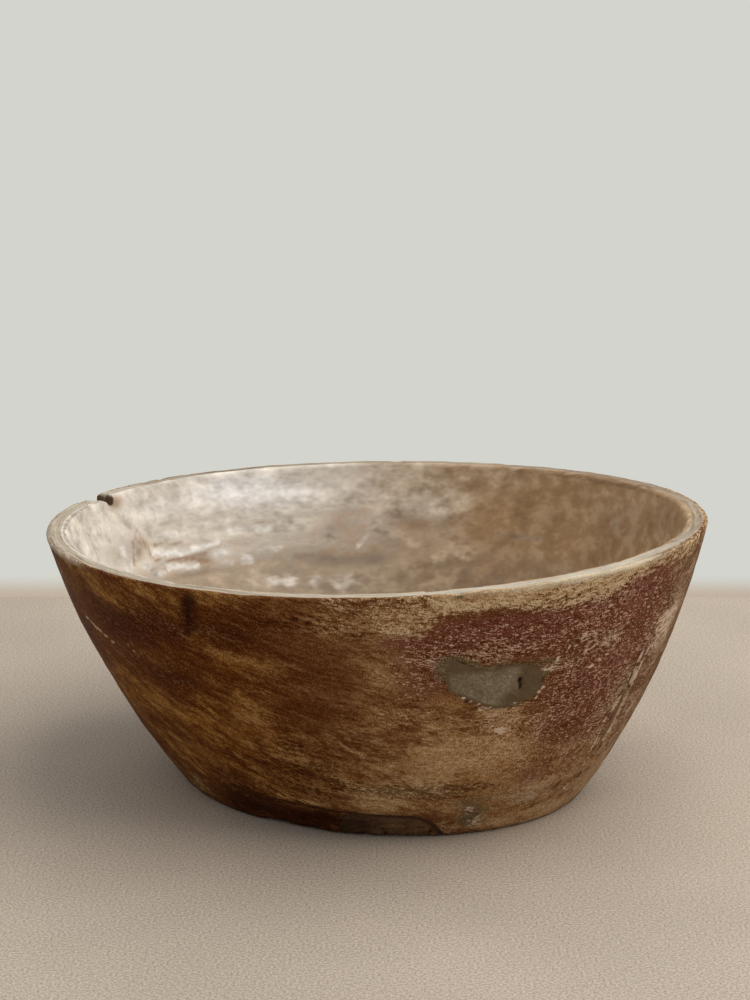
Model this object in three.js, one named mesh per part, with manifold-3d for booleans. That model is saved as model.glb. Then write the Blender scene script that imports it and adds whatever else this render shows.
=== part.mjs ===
// Root wood bowl: one turned shell with three old putty repairs, in millimetres, +Z up.
// The origin is the centre of the foot, on the surface that the bowl stands on.
// The front, with the large repair, faces -Y.
import * as THREE from 'three';
import { mergeVertices } from 'three/addons/utils/BufferGeometryUtils.js';
import Module from 'manifold-3d';

// Turned shell
const rimDiameter = 440;
const rimHeight = 176;
const rimWidth = 13.5;
const footDiameter = 273;
const sideBulge = 9.7; // how far the outside swells beyond a straight cone
const wallAtFoot = 19; // wall, measured level, at the height of the foot
const floorThickness = 20;
const floorDish = 3; // the inside floor sinks this far towards its middle
const insideCorner = 52; // how far the curve from wall to floor reaches along each
const rimRound = 2.4; // worn edges of the rim
const footRound = 3.5; // worn edge of the foot

// How the wood has moved since it was turned
const ovalStretch = 0.058; // longer one way and narrower across it, as a share
const ovalDirection = -45; // degrees from +X to the long way
const lean = 6.8; // the rim has crept this far towards -X
const rimTilt = 9.9; // the rim is this much higher at +X, and lower at -X
const rimWave = 1.9; // and it rises and falls this much twice around
const rimWaveDirection = -20; // degrees from +X to one of the two high places

// Repairs: where each lies on the wall, and how deep it goes
const puttyClearance = 0.3;
const puttyRecess = 0.5; // the putty has shrunk this far below the wood
const wallPutty = { direction: -72.5, height: 114, depth: 8 };
const footPutty = { direction: -90, height: 9, depth: 7 };
const crackPutty = { direction: -37.8, height: 75, depth: 7, length: 74, width: 8.5, turn: -3 };

// Outlines of the two larger repairs: across and up the wall from the place given above
const wallPuttyOutline = [
  [-29, 20], [-17, 15], [-4, 10.5], [8, 12.5], [22, 10], [31, 3], [31, -10],
  [21, -14], [9, -17.5], [-6, -13.5], [-17, -7], [-28, 0],
];
const footPuttyOutline = [
  [-34, -15], [-33, 2], [-25, 11.5], [-8, 11], [12.5, 10], [22, 5], [30, -5], [33, -15],
];

// Broken place in the rim: its outline along the rim and up from the rim's top
const rimBreakDirection = 156.5;
const rimBreakMargin = 4; // how far the break reaches above and past the rim
const rimBreakOutline = [
  [-22, rimBreakMargin], [-23, -4], [-19.5, -6.5], [-15, -5], [-12, -2.2], [5, -1.6], [24, 0.4],
  [24, rimBreakMargin],
];

// Fineness of the surfaces
const turnSteps = 80;
const wallSteps = 8;
const cornerSteps = 3;
const insideCornerSteps = 6;
const outlineSteps = 40;

const rimRadius = rimDiameter / 2;
const footRadius = footDiameter / 2;
const radians = THREE.MathUtils.degToRad;

const wasm = await Module();
wasm.setup();

// The outside is a circular arc from the foot's edge to the rim's edge, with sideBulge as its sagitta.
const chord = new THREE.Vector2(rimRadius - footRadius, rimHeight);
const arcRadius = (chord.lengthSq() / 4 + sideBulge ** 2) / (2 * sideBulge);
const outward = new THREE.Vector2(chord.y, -chord.x).normalize();
const arcCentre = new THREE.Vector2(footRadius, 0)
  .addScaledVector(chord, 0.5)
  .addScaledVector(outward, sideBulge - arcRadius);

// Radius of the outside at a height, or of a surface that lies a given depth below it.
function wallRadius(height, depth = 0) {
  const reach = arcRadius - depth;
  return arcCentre.x + Math.sqrt(reach ** 2 - (height - arcCentre.y) ** 2);
}

function wallThickness(height) {
  return THREE.MathUtils.lerp(wallAtFoot, rimWidth, height / rimHeight);
}

// Points of a profile up the wall, from one height to another.
function wallPoints(from, to, radiusAt) {
  return Array.from({ length: wallSteps + 1 }, (_, i) => {
    const height = THREE.MathUtils.lerp(from, to, i / wallSteps);
    return new THREE.Vector2(radiusAt(height), height);
  });
}

// A corner eased by a curve that starts and ends a given reach from it.
function easedCorner(before, corner, after, reach, steps = cornerSteps) {
  const start = before.clone().sub(corner).setLength(reach).add(corner);
  const end = after.clone().sub(corner).setLength(reach).add(corner);
  return new THREE.QuadraticBezierCurve(start, corner, end).getPoints(steps);
}

function shellProfile() {
  const insideRadius = (height) => wallRadius(height) - wallThickness(height);
  const footEdge = new THREE.Vector2(footRadius, 0);
  const rimOuter = new THREE.Vector2(rimRadius, rimHeight);
  const rimInner = new THREE.Vector2(rimRadius - rimWidth, rimHeight);
  const floorEdge = new THREE.Vector2(insideRadius(floorThickness), floorThickness);
  const underMiddle = new THREE.Vector2(0, 0);
  const floorMiddle = new THREE.Vector2(0, floorThickness - floorDish);
  const outside = wallPoints(2 * footRound, rimHeight - 2 * rimRound, wallRadius);
  const corner = easedCorner(
    new THREE.Vector2(insideRadius(rimHeight / 2), rimHeight / 2),
    floorEdge,
    floorMiddle,
    insideCorner,
    insideCornerSteps,
  );
  const inside = wallPoints(rimHeight - 2 * rimRound, corner[0].y, insideRadius);
  inside.pop();
  return [
    underMiddle,
    ...easedCorner(underMiddle, footEdge, outside[0], footRound),
    ...outside,
    ...easedCorner(outside.at(-1), rimOuter, rimInner, rimRound),
    ...easedCorner(rimOuter, rimInner, inside[0], rimRound),
    ...inside,
    ...corner,
    floorMiddle,
  ];
}

// A closed geometry as a solid that can be joined and cut.
function solidOf(geometry) {
  geometry.deleteAttribute('normal');
  geometry.deleteAttribute('uv');
  const merged = mergeVertices(geometry);
  const index = Array.from(merged.index.array);
  const triangles = [];
  for (let i = 0; i < index.length; i += 3) {
    const [a, b, c] = index.slice(i, i + 3);
    if (a !== b && b !== c && c !== a) {
      triangles.push(a, b, c);
    }
  }
  return new wasm.Manifold(new wasm.Mesh({
    numProp: 3,
    vertProperties: Float32Array.from(merged.attributes.position.array),
    triVerts: Uint32Array.from(triangles),
  }));
}

function turned(profile) {
  return solidOf(new THREE.LatheGeometry(profile, turnSteps).rotateX(Math.PI / 2));
}

// Everything that lies deeper in the wood than a given depth below the outside.
function woodBelow(depth) {
  const bottom = -rimHeight / 4;
  const top = rimHeight * 1.25;
  const side = wallPoints(bottom, top, (height) => wallRadius(height, depth));
  return turned([new THREE.Vector2(0, bottom), ...side, new THREE.Vector2(0, top)]);
}

// A smooth closed outline through a few points, moved inwards by a given distance.
function smoothOutline(corners, inset) {
  const curve = new THREE.CatmullRomCurve3(corners.map(([x, y]) => new THREE.Vector3(x, y, 0)), true);
  return insetOutline(curve.getSpacedPoints(outlineSteps).slice(0, -1), inset);
}

function insetOutline(points, inset) {
  const clockwise = THREE.ShapeUtils.isClockWise(points);
  return points.map((point, i) => {
    const before = points.at(i - 1);
    const after = points[(i + 1) % points.length];
    const along = new THREE.Vector2(after.x - before.x, after.y - before.y).normalize();
    const inwards = clockwise ? new THREE.Vector2(along.y, -along.x) : new THREE.Vector2(-along.y, along.x);
    return new THREE.Vector2(point.x, point.y).addScaledVector(inwards, inset);
  });
}

function crackOutline(inset) {
  const { length, width, turn } = crackPutty;
  const curve = new THREE.EllipseCurve(0, 0, width / 2, length / 2, 0, 2 * Math.PI, false, radians(turn));
  return insetOutline(curve.getSpacedPoints(outlineSteps).slice(0, -1), inset);
}

// An outline pushed straight through the wall at a direction and a height.
function cutterThrough(outline, direction, height, facing) {
  const reach = wallRadius(height) / 2;
  const geometry = new THREE.ExtrudeGeometry(new THREE.Shape(outline), {
    depth: reach + rimBreakMargin,
    bevelEnabled: false,
  });
  geometry.translate(0, 0, -reach);
  const across = new THREE.Vector3(-Math.sin(direction), Math.cos(direction), 0);
  const up = new THREE.Vector3().crossVectors(facing, across);
  const place = new THREE.Matrix4().makeBasis(across, up, facing);
  const radius = wallRadius(height);
  place.setPosition(radius * Math.cos(direction), radius * Math.sin(direction), height);
  return solidOf(geometry.applyMatrix4(place));
}

// Outward direction of the wall at a direction and a height.
function wallFacing(direction, height) {
  const slope = new THREE.Vector2(wallRadius(height), height).sub(arcCentre).normalize();
  return new THREE.Vector3(slope.x * Math.cos(direction), slope.x * Math.sin(direction), slope.y);
}

// The pocket cut for a repair, and the putty that fills it up to its clearance.
function repair(outlineAt, { direction, height, depth }) {
  const angle = radians(direction);
  const facing = wallFacing(angle, height);
  const pocket = cutterThrough(outlineAt(0), angle, height, facing).subtract(woodBelow(depth));
  const putty = cutterThrough(outlineAt(puttyClearance), angle, height, facing)
    .intersect(turnedShell)
    .intersect(woodBelow(puttyRecess))
    .subtract(woodBelow(depth - puttyClearance));
  return { pocket, putty };
}

// A broken piece of rim, cut level from outside to inside.
function rimBreak() {
  const angle = radians(rimBreakDirection);
  const facing = new THREE.Vector3(Math.cos(angle), Math.sin(angle), 0);
  const outline = rimBreakOutline.map(([x, y]) => new THREE.Vector2(x, y));
  return cutterThrough(outline, angle, rimHeight, facing);
}

// Where a point of the turned shape lies now that the wood has shrunk and leaned.
function seasoned(point) {
  const longWay = radians(ovalDirection);
  const moved = point.clone().applyAxisAngle(new THREE.Vector3(0, 0, 1), -longWay);
  moved.multiply(new THREE.Vector3(1 + ovalStretch, 1 - ovalStretch, 1));
  moved.applyAxisAngle(new THREE.Vector3(0, 0, 1), longWay);
  const rise = point.z / rimHeight;
  const away = Math.hypot(moved.x, moved.y) / rimRadius;
  const turn = Math.atan2(moved.y, moved.x) - radians(rimWaveDirection);
  moved.z += rise * (rimTilt * moved.x / rimRadius + rimWave * away ** 2 * Math.cos(2 * turn));
  moved.x -= lean * rise;
  return moved;
}

function finishedMesh(name, solid, material) {
  const { vertProperties, triVerts } = solid.getMesh();
  const geometry = new THREE.BufferGeometry();
  geometry.setAttribute('position', new THREE.BufferAttribute(Float32Array.from(vertProperties), 3));
  geometry.setIndex(new THREE.BufferAttribute(Uint32Array.from(triVerts), 1));
  const position = geometry.attributes.position;
  const point = new THREE.Vector3();
  for (let i = 0; i < position.count; i += 1) {
    point.copy(seasoned(point.fromBufferAttribute(position, i)));
    position.setXYZ(i, point.x, point.y, point.z);
  }
  geometry.computeVertexNormals();
  const mesh = new THREE.Mesh(geometry, material);
  mesh.name = name;
  return mesh;
}

const wood = new THREE.MeshStandardMaterial({ color: 0x6b4227, roughness: 0.6, metalness: 0 });
const putty = new THREE.MeshStandardMaterial({ color: 0x6f6655, roughness: 0.75, metalness: 0 });

const turnedShell = turned(shellProfile());
const wallRepair = repair((inset) => smoothOutline(wallPuttyOutline, inset), wallPutty);
const crackRepair = repair(crackOutline, crackPutty);
const footRepair = repair((inset) => smoothOutline(footPuttyOutline, inset), footPutty);
const bowlBody = turnedShell
  .subtract(rimBreak())
  .subtract(wallRepair.pocket)
  .subtract(crackRepair.pocket)
  .subtract(footRepair.pocket);

const bowl = new THREE.Group();
bowl.add(
  finishedMesh('bowl_body', bowlBody, wood),
  finishedMesh('wall_putty', wallRepair.putty, putty),
  finishedMesh('crack_putty', crackRepair.putty, putty),
  finishedMesh('foot_putty', footRepair.putty, putty),
);

export default bowl;
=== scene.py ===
import math
import bpy
import numpy as np
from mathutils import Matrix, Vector


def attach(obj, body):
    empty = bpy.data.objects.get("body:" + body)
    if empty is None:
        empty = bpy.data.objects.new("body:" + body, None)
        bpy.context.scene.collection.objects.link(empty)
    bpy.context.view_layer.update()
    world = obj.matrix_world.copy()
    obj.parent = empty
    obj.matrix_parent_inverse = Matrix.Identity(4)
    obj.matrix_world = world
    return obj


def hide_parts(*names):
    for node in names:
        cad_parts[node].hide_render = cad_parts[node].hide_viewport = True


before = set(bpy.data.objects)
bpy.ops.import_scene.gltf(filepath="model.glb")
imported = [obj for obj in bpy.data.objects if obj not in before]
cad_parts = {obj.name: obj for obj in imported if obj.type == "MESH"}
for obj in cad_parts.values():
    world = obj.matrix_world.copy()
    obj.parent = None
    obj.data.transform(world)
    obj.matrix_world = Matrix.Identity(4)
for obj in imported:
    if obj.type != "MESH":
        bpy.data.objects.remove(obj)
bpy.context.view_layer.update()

# sizes of the turned shell and how its wood has moved, in metres and degrees
bowl = {
    "rimRadius": 0.220, "rimHeight": 0.176, "rimWidth": 0.0135,
    "footRadius": 0.1365, "sideBulge": 0.0097, "wallAtFoot": 0.019,
    "floorThickness": 0.020, "floorDish": 0.003, "insideCorner": 0.052,
    "rimRound": 0.0026, "footRound": 0.0035,
    "oval": 0.058, "ovalTurn": -45, "lean": 0.0068,
    "rimTilt": 0.0099, "rimWave": 0.0019, "rimWaveTurn": -20,
}

# rings on each stretch of the profile, closer on the wall below a height, the innermost ring's radius, and
# the radius of the drum on which the grain is laid out
ringPlan = {
    "under": 7, "foot": 6, "lowWall": 15, "wall": 52, "edge": 5, "rim": 5,
    "inside": 41, "corner": 12, "floor": 7, "closerBelow": 0.030, "poleRadius": 0.004,
    "drumRadius": 0.2,
}

# degrees between neighbouring columns, by turn
columnPlan = {
    "turn": (-180, -166, -162, -48, -46, -29, -27, -20, -14, 8, 14, 144, 148, 166, 170, 180),
    "step": (1.2, 1.2, 0.42, 0.42, 0.28, 0.28, 0.42, 0.42, 1.2, 1.2, 0.9, 0.9, 0.36, 0.36, 1.2, 1.2),
}

# the camera of the photograph: place in metres, angles in radians
photoView = {
    "place": (0.0, -1.462, 0.485),
    "pitch": 0.2003,          # below level
    "turn": 0.0028,           # to the left
    "focalPixels": 2224.0,
    "sensor": 36,             # mm, over the 1000 pixels of the photograph's height
    "pixels": 1000,
}


def clamp01(x):
    return np.clip(x, 0.0, 1.0)


def smooth(low, high, x):
    # eased step: 0 below low, 1 above high, with a soft S between
    t = clamp01((x - low) / (high - low))
    return t * t * (3 - 2 * t)


def within(x, rise, full, fade, gone):
    # eased up from rise to full, and down again from fade to gone
    return smooth(rise, full, x) * (1 - smooth(fade, gone, x))


def bell(x, spread):
    # 1 at zero, falling as e to the minus square
    return np.exp(-(x / spread) ** 2)


def turnAway(turn, centre):
    # signed angle from centre in degrees, between -180 and 180
    return (turn - centre + 180) % 360 - 180


def nearTurn(turn, centre, full, gone):
    # 1 as far as full degrees from a centre, eased to 0 where it is gone
    return 1 - smooth(full, gone, np.abs(turnAway(turn, centre)))


def ripple(points, size, seed, count=26):
    # sum of sine waves in random directions, with lengths around size, scaled to unit spread
    rng = np.random.default_rng(seed)
    way = rng.normal(size=(count, 3))
    way /= np.linalg.norm(way, axis=1, keepdims=True)
    number = 2 * np.pi / (size * rng.uniform(0.65, 1.6, count))
    phase = rng.uniform(0, 2 * np.pi, count)
    total = np.zeros(points.shape[:-1])
    for w, k, p in zip(way, number, phase):
        total += np.sin(points @ (w * k) + p)
    return total * math.sqrt(2.0 / count)


# the outside is an arc from the foot's edge to the rim's edge, with sideBulge as its sagitta
chordR = bowl["rimRadius"] - bowl["footRadius"]
chordZ = bowl["rimHeight"]
chordLength = math.hypot(chordR, chordZ)
arcRadius = (chordLength ** 2 / 4 + bowl["sideBulge"] ** 2) / (2 * bowl["sideBulge"])
arcShift = (bowl["sideBulge"] - arcRadius) / chordLength
arcR = bowl["footRadius"] + chordR / 2 + chordZ * arcShift
arcZ = chordZ / 2 - chordR * arcShift


def outsideRadius(z):
    # where the arc's circle stands at a height
    return arcR + np.sqrt(arcRadius ** 2 - (z - arcZ) ** 2)


def insideRadius(z):
    # the outside less a wall that thins evenly from foot to rim
    share = z / bowl["rimHeight"]
    return outsideRadius(z) - (bowl["wallAtFoot"] + (bowl["rimWidth"] - bowl["wallAtFoot"]) * share)


def season(p):
    # stretch along the long way; the tilt and wave of the rim and the lean grow with height
    turn = math.radians(bowl["ovalTurn"])
    c, s = math.cos(turn), math.sin(turn)
    u = (p[..., 0] * c + p[..., 1] * s) * (1 + bowl["oval"])
    v = (-p[..., 0] * s + p[..., 1] * c) * (1 - bowl["oval"])
    x = u * c - v * s
    y = u * s + v * c
    share = p[..., 2] / bowl["rimHeight"]
    away = np.hypot(x, y) / bowl["rimRadius"]
    angle = np.arctan2(y, x) - math.radians(bowl["rimWaveTurn"])
    rise = bowl["rimTilt"] * x / bowl["rimRadius"] + bowl["rimWave"] * away ** 2 * np.cos(2 * angle)
    return np.stack([x - bowl["lean"] * share, y, p[..., 2] + share * rise], -1)


def easedCorner(before, corner, after, reach, steps):
    # quadratic curve that starts and ends at a reach from the corner
    before, corner, after = (np.array(q, float) for q in (before, corner, after))
    start = corner + (before - corner) / np.linalg.norm(before - corner) * reach
    end = corner + (after - corner) / np.linalg.norm(after - corner) * reach
    t = np.linspace(0, 1, steps)[:, None]
    return (1 - t) ** 2 * start + 2 * t * (1 - t) * corner + t ** 2 * end


# stretches of the profile, in the order in which they are joined
(underZone, footZone, wallZone, outerEdgeZone, rimZone,
 innerEdgeZone, insideZone, cornerZone, floorZone) = range(9)


def shellProfile():
    # radius and height from under the foot, up the outside, over the rim and down the inside
    footEdge = (bowl["footRadius"], 0)
    rimOuter = (bowl["rimRadius"], bowl["rimHeight"])
    rimInner = (bowl["rimRadius"] - bowl["rimWidth"], bowl["rimHeight"])
    floorEdge = (float(insideRadius(bowl["floorThickness"])), bowl["floorThickness"])
    floorMiddle = (0, bowl["floorThickness"] - bowl["floorDish"])
    midIn = (float(insideRadius(bowl["rimHeight"] / 2)), bowl["rimHeight"] / 2)
    corner = easedCorner(midIn, floorEdge, floorMiddle, bowl["insideCorner"], ringPlan["corner"])
    low, mid, top = 2 * bowl["footRound"], ringPlan["closerBelow"], bowl["rimHeight"] - 2 * bowl["rimRound"]
    lowUp = np.linspace(low, mid, ringPlan["lowWall"])[:-1]
    up = np.concatenate([lowUp, np.linspace(mid, top, ringPlan["wall"])])
    down = np.linspace(top, corner[0, 1], ringPlan["inside"])[:-1]
    outside = np.stack([outsideRadius(up), up], -1)
    inside = np.stack([insideRadius(down), down], -1)
    foot = easedCorner((0, 0), footEdge, outside[0], bowl["footRound"], ringPlan["foot"])
    outerEdge = easedCorner(outside[-1], rimOuter, rimInner, bowl["rimRound"], ringPlan["edge"])
    innerEdge = easedCorner(rimOuter, rimInner, inside[0], bowl["rimRound"], ringPlan["edge"])
    outward = np.linspace(ringPlan["poleRadius"], foot[0, 0], ringPlan["under"] + 1)[:-1]
    under = np.stack([outward, np.zeros(ringPlan["under"])], -1)
    rimTop = np.linspace(outerEdge[-1], innerEdge[0], ringPlan["rim"] + 2)[1:-1]
    share = np.linspace(0, 1, ringPlan["floor"] + 2)[1:-1, None]
    floor = corner[-1] * (1 - share) + np.array(floorMiddle) * share
    parts = [under, foot, outside, outerEdge, rimTop, innerEdge, inside, corner, floor]
    zone = np.concatenate([np.full(len(p), k) for k, p in enumerate(parts)])
    return np.concatenate(parts), zone


profile, profileZone = shellProfile()
profileStep = np.linalg.norm(np.diff(profile, axis=0), axis=1)
profileRun = np.concatenate([[0], np.cumsum(profileStep)])
slope = np.gradient(profile, profileRun, axis=0)
profileNormal = np.stack([slope[:, 1], -slope[:, 0]], -1)
profileNormal /= np.linalg.norm(profileNormal, axis=1, keepdims=True)


def runAtHeight(z):
    # distance along the profile at which the outside reaches a height
    wall = profileZone == wallZone
    return float(np.interp(z, profile[wall, 1], profileRun[wall]))


def atRun(run, values):
    # what a list of values along the profile gives at a distance
    return np.interp(run, profileRun, values)


def onShell(turn, run, lift):
    # point at an angle in degrees and a distance along the profile, lifted along the outward normal
    r = atRun(run, profile[:, 0]) + lift * atRun(run, profileNormal[:, 0])
    z = atRun(run, profile[:, 1]) + lift * atRun(run, profileNormal[:, 1])
    angle = np.radians(turn)
    return season(np.stack([r * np.cos(angle), r * np.sin(angle), np.maximum(z, 0.0)], -1))


# old fillings: place in degrees and metres, how each lies in its pocket in mm, its outline in mm across
# and up the wall, and its pits as across, up, half width, half height and depth in mm
wallPutty = {
    "turn": -72.5, "height": 0.114, "recess": 0.4, "depth": 2.4, "lumps": 0.16, "seed": 11, "edgeFrom": 0.86,
    "outline": [(-29, 20), (-17, 15), (-4, 10.5), (8, 12.5), (22, 10), (31, 3), (31, -10), (21, -14),
                (9, -17.5), (-6, -13.5), (-17, -7), (-28, 0)],
    "pits": [(17.5, 0.5, 1.8, 2.6, 2.4), (18.4, -3.6, 1.3, 3.6, 0.85), (20.5, 5, 1.6, 2.2, 0.36),
             (12.5, -6, 1.0, 3.4, 0.34), (-7, 1.5, 1.3, 1.0, 0.5), (24, -7, 1.1, 3.0, 0.3)],
}
crackPutty = {
    "turn": -37.8, "height": 0.075, "recess": 0.7, "depth": 2.2, "lumps": 0.22, "seed": 12, "edgeFrom": 0.80,
    "outline": [(-0.5, -38), (2.6, -26), (4.3, -9), (3.6, 8), (3.2, 24), (1.9, 37), (-0.8, 30), (-2.4, 16),
                (-4.3, 2), (-4.5, -14), (-3.2, -28)],
    "pits": [(0.4, 20, 1.2, 6, 1.0), (-0.6, -6, 1.4, 5, 0.7)],
}
footPutty = {
    "turn": -90, "height": 0.009, "recess": 0.6, "depth": 2.6, "lumps": 0.42, "seed": 13, "edgeFrom": 0.70,
    "outline": [(-34, -15), (-33, 2), (-25, 11.5), (-8, 11), (12.5, 10), (22, 5), (30, -5), (33, -15),
                (0, -17)],
    "pits": [(-6.6, -4.4, 0.8, 2.4, 0.8), (-5.2, -8, 0.8, 2.8, 1.1), (17, -1, 3.2, 1.2, 1.0),
             (-20, 3, 5, 1.2, 0.8), (24, -7, 1.2, 4, 0.8)],
}


def outlineCurve(points, count):
    # closed smooth curve through the points: each stretch is a cubic whose ends follow the neighbours
    p = np.array(points, float)
    t = np.arange(count) / count * len(p)
    i = t.astype(int)
    f = (t - i)[:, None]
    a, b, c, d = (p[(i + k) % len(p)] for k in (-1, 0, 1, 2))
    square = 2 * a - 5 * b + 4 * c - d
    cube = 3 * b - a - 3 * c + d
    return 0.5 * (2 * b + (c - a) * f + square * f ** 2 + cube * f ** 3)


def middleOf(filling):
    # distance along the profile of a filling's middle, and the radius there
    run = runAtHeight(filling["height"])
    return run, float(atRun(run, profile[:, 0]))


def shareOfOutline(filling, turn, run):
    # 0 at a filling's middle, 1 on its outline, over 1 outside; run is along the profile in metres
    centreRun, radius = middleOf(filling)
    across = np.radians(turnAway(turn, filling["turn"])) * radius * 1000
    up = (run - centreRun) * 1000
    curve = outlineCurve(filling["outline"], 720)
    bearing = np.arctan2(curve[:, 1], curve[:, 0])
    order = np.argsort(bearing)
    reach = np.hypot(curve[:, 0], curve[:, 1])[order]
    edge = np.interp(np.arctan2(up, across), bearing[order], reach, period=2 * np.pi)
    return np.hypot(across, up) / edge


# relief of the wood: depths and heights in mm, turns in degrees, sizes of the unevenness in metres; a reach
# is where a form rises, is full, fades and is gone
handWork = {
    "wobble": 0.32, "wobbleSize": 0.075, "tooling": 0.10, "toolingSize": 0.017,
    "insideWobble": 0.275, "insideSize": 0.050, "rimWear": 0.22, "rimWearSize": 0.028,
    "arrisWear": 0.9, "arrisSize": 0.020, "chipSize": 0.016, "crumbSize": 0.006,
    "footWear": 0.7, "footSize": 0.022, "flatShare": 0.4, "lipHeight": 0.55, "lipSize": 0.012,
    "ledgeDepth": 1.1, "ledgeReach": (-131, -122, -99, -96),
    "ledgeTurn": (-131, -117, -103), "ledgeTop": (27.0, 23.6, 20.6),
    "grooveDepth": 0.7, "grooveTurn": -123.7, "grooveSpread": 0.9, "grooveRise": (143, 152),
    "nickDepth": 1.6, "nickTurn": -79.8, "nickSpread": 1.1, "nickRise": (170.5, 173),
    "facetDepth": 0.55, "facetReach": (50, 60, 78, 90), "facetFade": (-97, -84),
    "facetHeight": (52, 84), "facetTurn": (-91, -99),
}

# a break in the rim: its middle in degrees, mm along the rim and the drop there in mm, in metres how far
# the cut clears the rim past its ends and how rough it is, and the share of what stands above it that stays
rimBreak = {
    "turn": 156.5,
    "along": (-20.0, -19.0, -18.0, -16.6, -13.5, -10.5, -8.0, -5.0, 5, 25),
    "drop": (0.0, -1.6, -4.6, -6.6, -6.6, -5.4, -3.4, -2.2, -1.6, 0.0),
    "clear": 0.0035, "rough": 0.0003, "roughSize": 0.005, "squeeze": 0.06,
}

# gouge marks inside: turn, height in mm, half width in degrees, half height in mm, depth in mm
gougeMarks = [
    (134, 127, 11, 4.0, 1.3), (135, 116, 10, 3.8, 1.3), (120, 133, 11, 3.6, 1.0), (119, 121, 8, 3.5, 0.9),
    (142, 139, 8, 4.0, 0.9), (127, 145, 9, 3.4, 0.7), (108, 127, 9, 3.6, 0.7), (150, 127, 6, 5.5, 0.9),
    (152, 112, 7, 4.5, 0.9), (105, 112, 9, 3.4, 0.6), (128, 104, 10, 3.8, 1.0), (146, 101, 9, 4.2, 0.9),
    (52, 130, 9, 3.0, 0.7), (40, 138, 8, 3.5, 0.5), (64, 119, 7, 3.6, 0.5), (118, 95, 8, 4.5, 0.8),
    (30, 118, 9, 3.6, 0.5), (172, 118, 9, 4.0, 0.8), (196, 108, 10, 4.0, 0.8), (221, 122, 9, 4.0, 0.7),
    (248, 98, 10, 4.2, 0.8), (283, 112, 10, 4.0, 0.7), (317, 100, 9, 4.2, 0.7), (340, 122, 9, 3.8, 0.6),
]


def patches(turn, height, spots):
    # soft ovals that fade as a bell; where they meet, what each leaves uncovered is multiplied
    left = np.ones(np.broadcast(turn, height).shape)
    for at, level, wide, tall, amount in spots:
        away = (turnAway(turn, at) / wide) ** 2 + ((height - level) / tall) ** 2
        left *= 1 - amount * np.exp(-0.9 * away)
    return 1 - left


def strokes(turn, height, lines):
    # soft lines from one place to another, each a bell across its half width in mm
    left = np.ones(np.broadcast(turn, height).shape)
    for fromTurn, fromHeight, toTurn, toHeight, wide, amount in lines:
        scale = math.radians(1) * 500 * (outsideRadius(fromHeight / 1000) + outsideRadius(toHeight / 1000))
        x, y = turnAway(turn, fromTurn) * scale, height - fromHeight
        dx, dy = turnAway(toTurn, fromTurn) * scale, toHeight - fromHeight
        t = clamp01((x * dx + y * dy) / (dx * dx + dy * dy))
        away = np.hypot(x - t * dx, y - t * dy) / wide
        left *= 1 - amount * np.exp(-0.9 * away ** 2)
    return 1 - left


def ledgeHeight(turn):
    # upper edge of the hollow at the left of the foot, in mm
    return np.interp(turn, handWork["ledgeTurn"], handWork["ledgeTop"])


def shellRelief(turn, height, run, spots):
    # how far the surface stands off the turned shape, in mm along its normal
    work = handWork
    zone = profileZone[:, None]
    wall = zone == wallZone
    arrises = (zone == outerEdgeZone) + (zone == innerEdgeZone)
    uneven = work["wobble"] * ripple(spots, work["wobbleSize"], 1)
    uneven = uneven + work["tooling"] * ripple(spots, work["toolingSize"], 2)
    lift = wall * smooth(4, 20, height) * uneven
    lift = lift + (zone >= insideZone) * work["insideWobble"] * ripple(spots, work["insideSize"], 3)
    lift = lift + (zone == rimZone) * work["rimWear"] * ripple(spots, work["rimWearSize"], 4)
    chips = smooth(0.9, 2.4, ripple(spots, work["chipSize"], 5) + 0.4 * ripple(spots, work["crumbSize"], 6))
    lift = lift - arrises * work["arrisWear"] * (chips + 0.12 * ripple(spots, work["arrisSize"], 7))
    worn = smooth(0.2, 2.0, ripple(spots, work["footSize"], 8))
    lift = lift - (zone == footZone) * work["footWear"] * worn
    for at, level, wide, tall, depth in gougeMarks:
        away = np.hypot(turnAway(turn, at) / wide, (height - level) / tall)
        lift = lift - (zone == insideZone) * depth * (1 - smooth(0.0, 1.0, away))
    # hollow at the left of the foot, groove and nick under the rim, and a flat place in front
    below = smooth(-0.2, 1.6, ledgeHeight(turn) - height)
    reach = within(turn, *work["ledgeReach"])
    lift = lift - (zone <= wallZone) * (zone >= footZone) * work["ledgeDepth"] * below * reach
    groove = bell(turnAway(turn, work["grooveTurn"]), work["grooveSpread"])
    groove = groove * smooth(*work["grooveRise"], height)
    lift = lift - wall * work["grooveDepth"] * groove
    nick = bell(turnAway(turn, work["nickTurn"]), work["nickSpread"])
    reach = (zone == outerEdgeZone) + wall * smooth(*work["nickRise"], height)
    lift = lift - reach * work["nickDepth"] * nick
    facetEdge = np.interp(height, work["facetHeight"], work["facetTurn"])
    facet = smooth(-0.6, 0.4, turn - facetEdge) * (1 - smooth(*work["facetFade"], turn))
    lift = lift - wall * work["facetDepth"] * facet * within(height, *work["facetReach"])
    # the wood is let down under each filling, and stands up in lips along the crack
    for filling in (wallPutty, crackPutty, footPutty):
        share = shareOfOutline(filling, turn, run)
        lift = np.where(zone <= wallZone, lift * smooth(1.0, 1.5, share), lift)
        lift = lift - (zone <= wallZone) * filling["depth"] * (1 - smooth(0.86, 1.05, share))
    lips = bell(shareOfOutline(crackPutty, turn, run) - 1.22, 0.2)
    lips = lips * (0.7 + 0.4 * ripple(spots, work["lipSize"], 9))
    return lift + wall * work["lipHeight"] * lips


def alongBreak(turn):
    # mm along the rim from the middle of the break
    return np.radians(turnAway(turn, rimBreak["turn"])) * bowl["rimRadius"] * 1000


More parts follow.
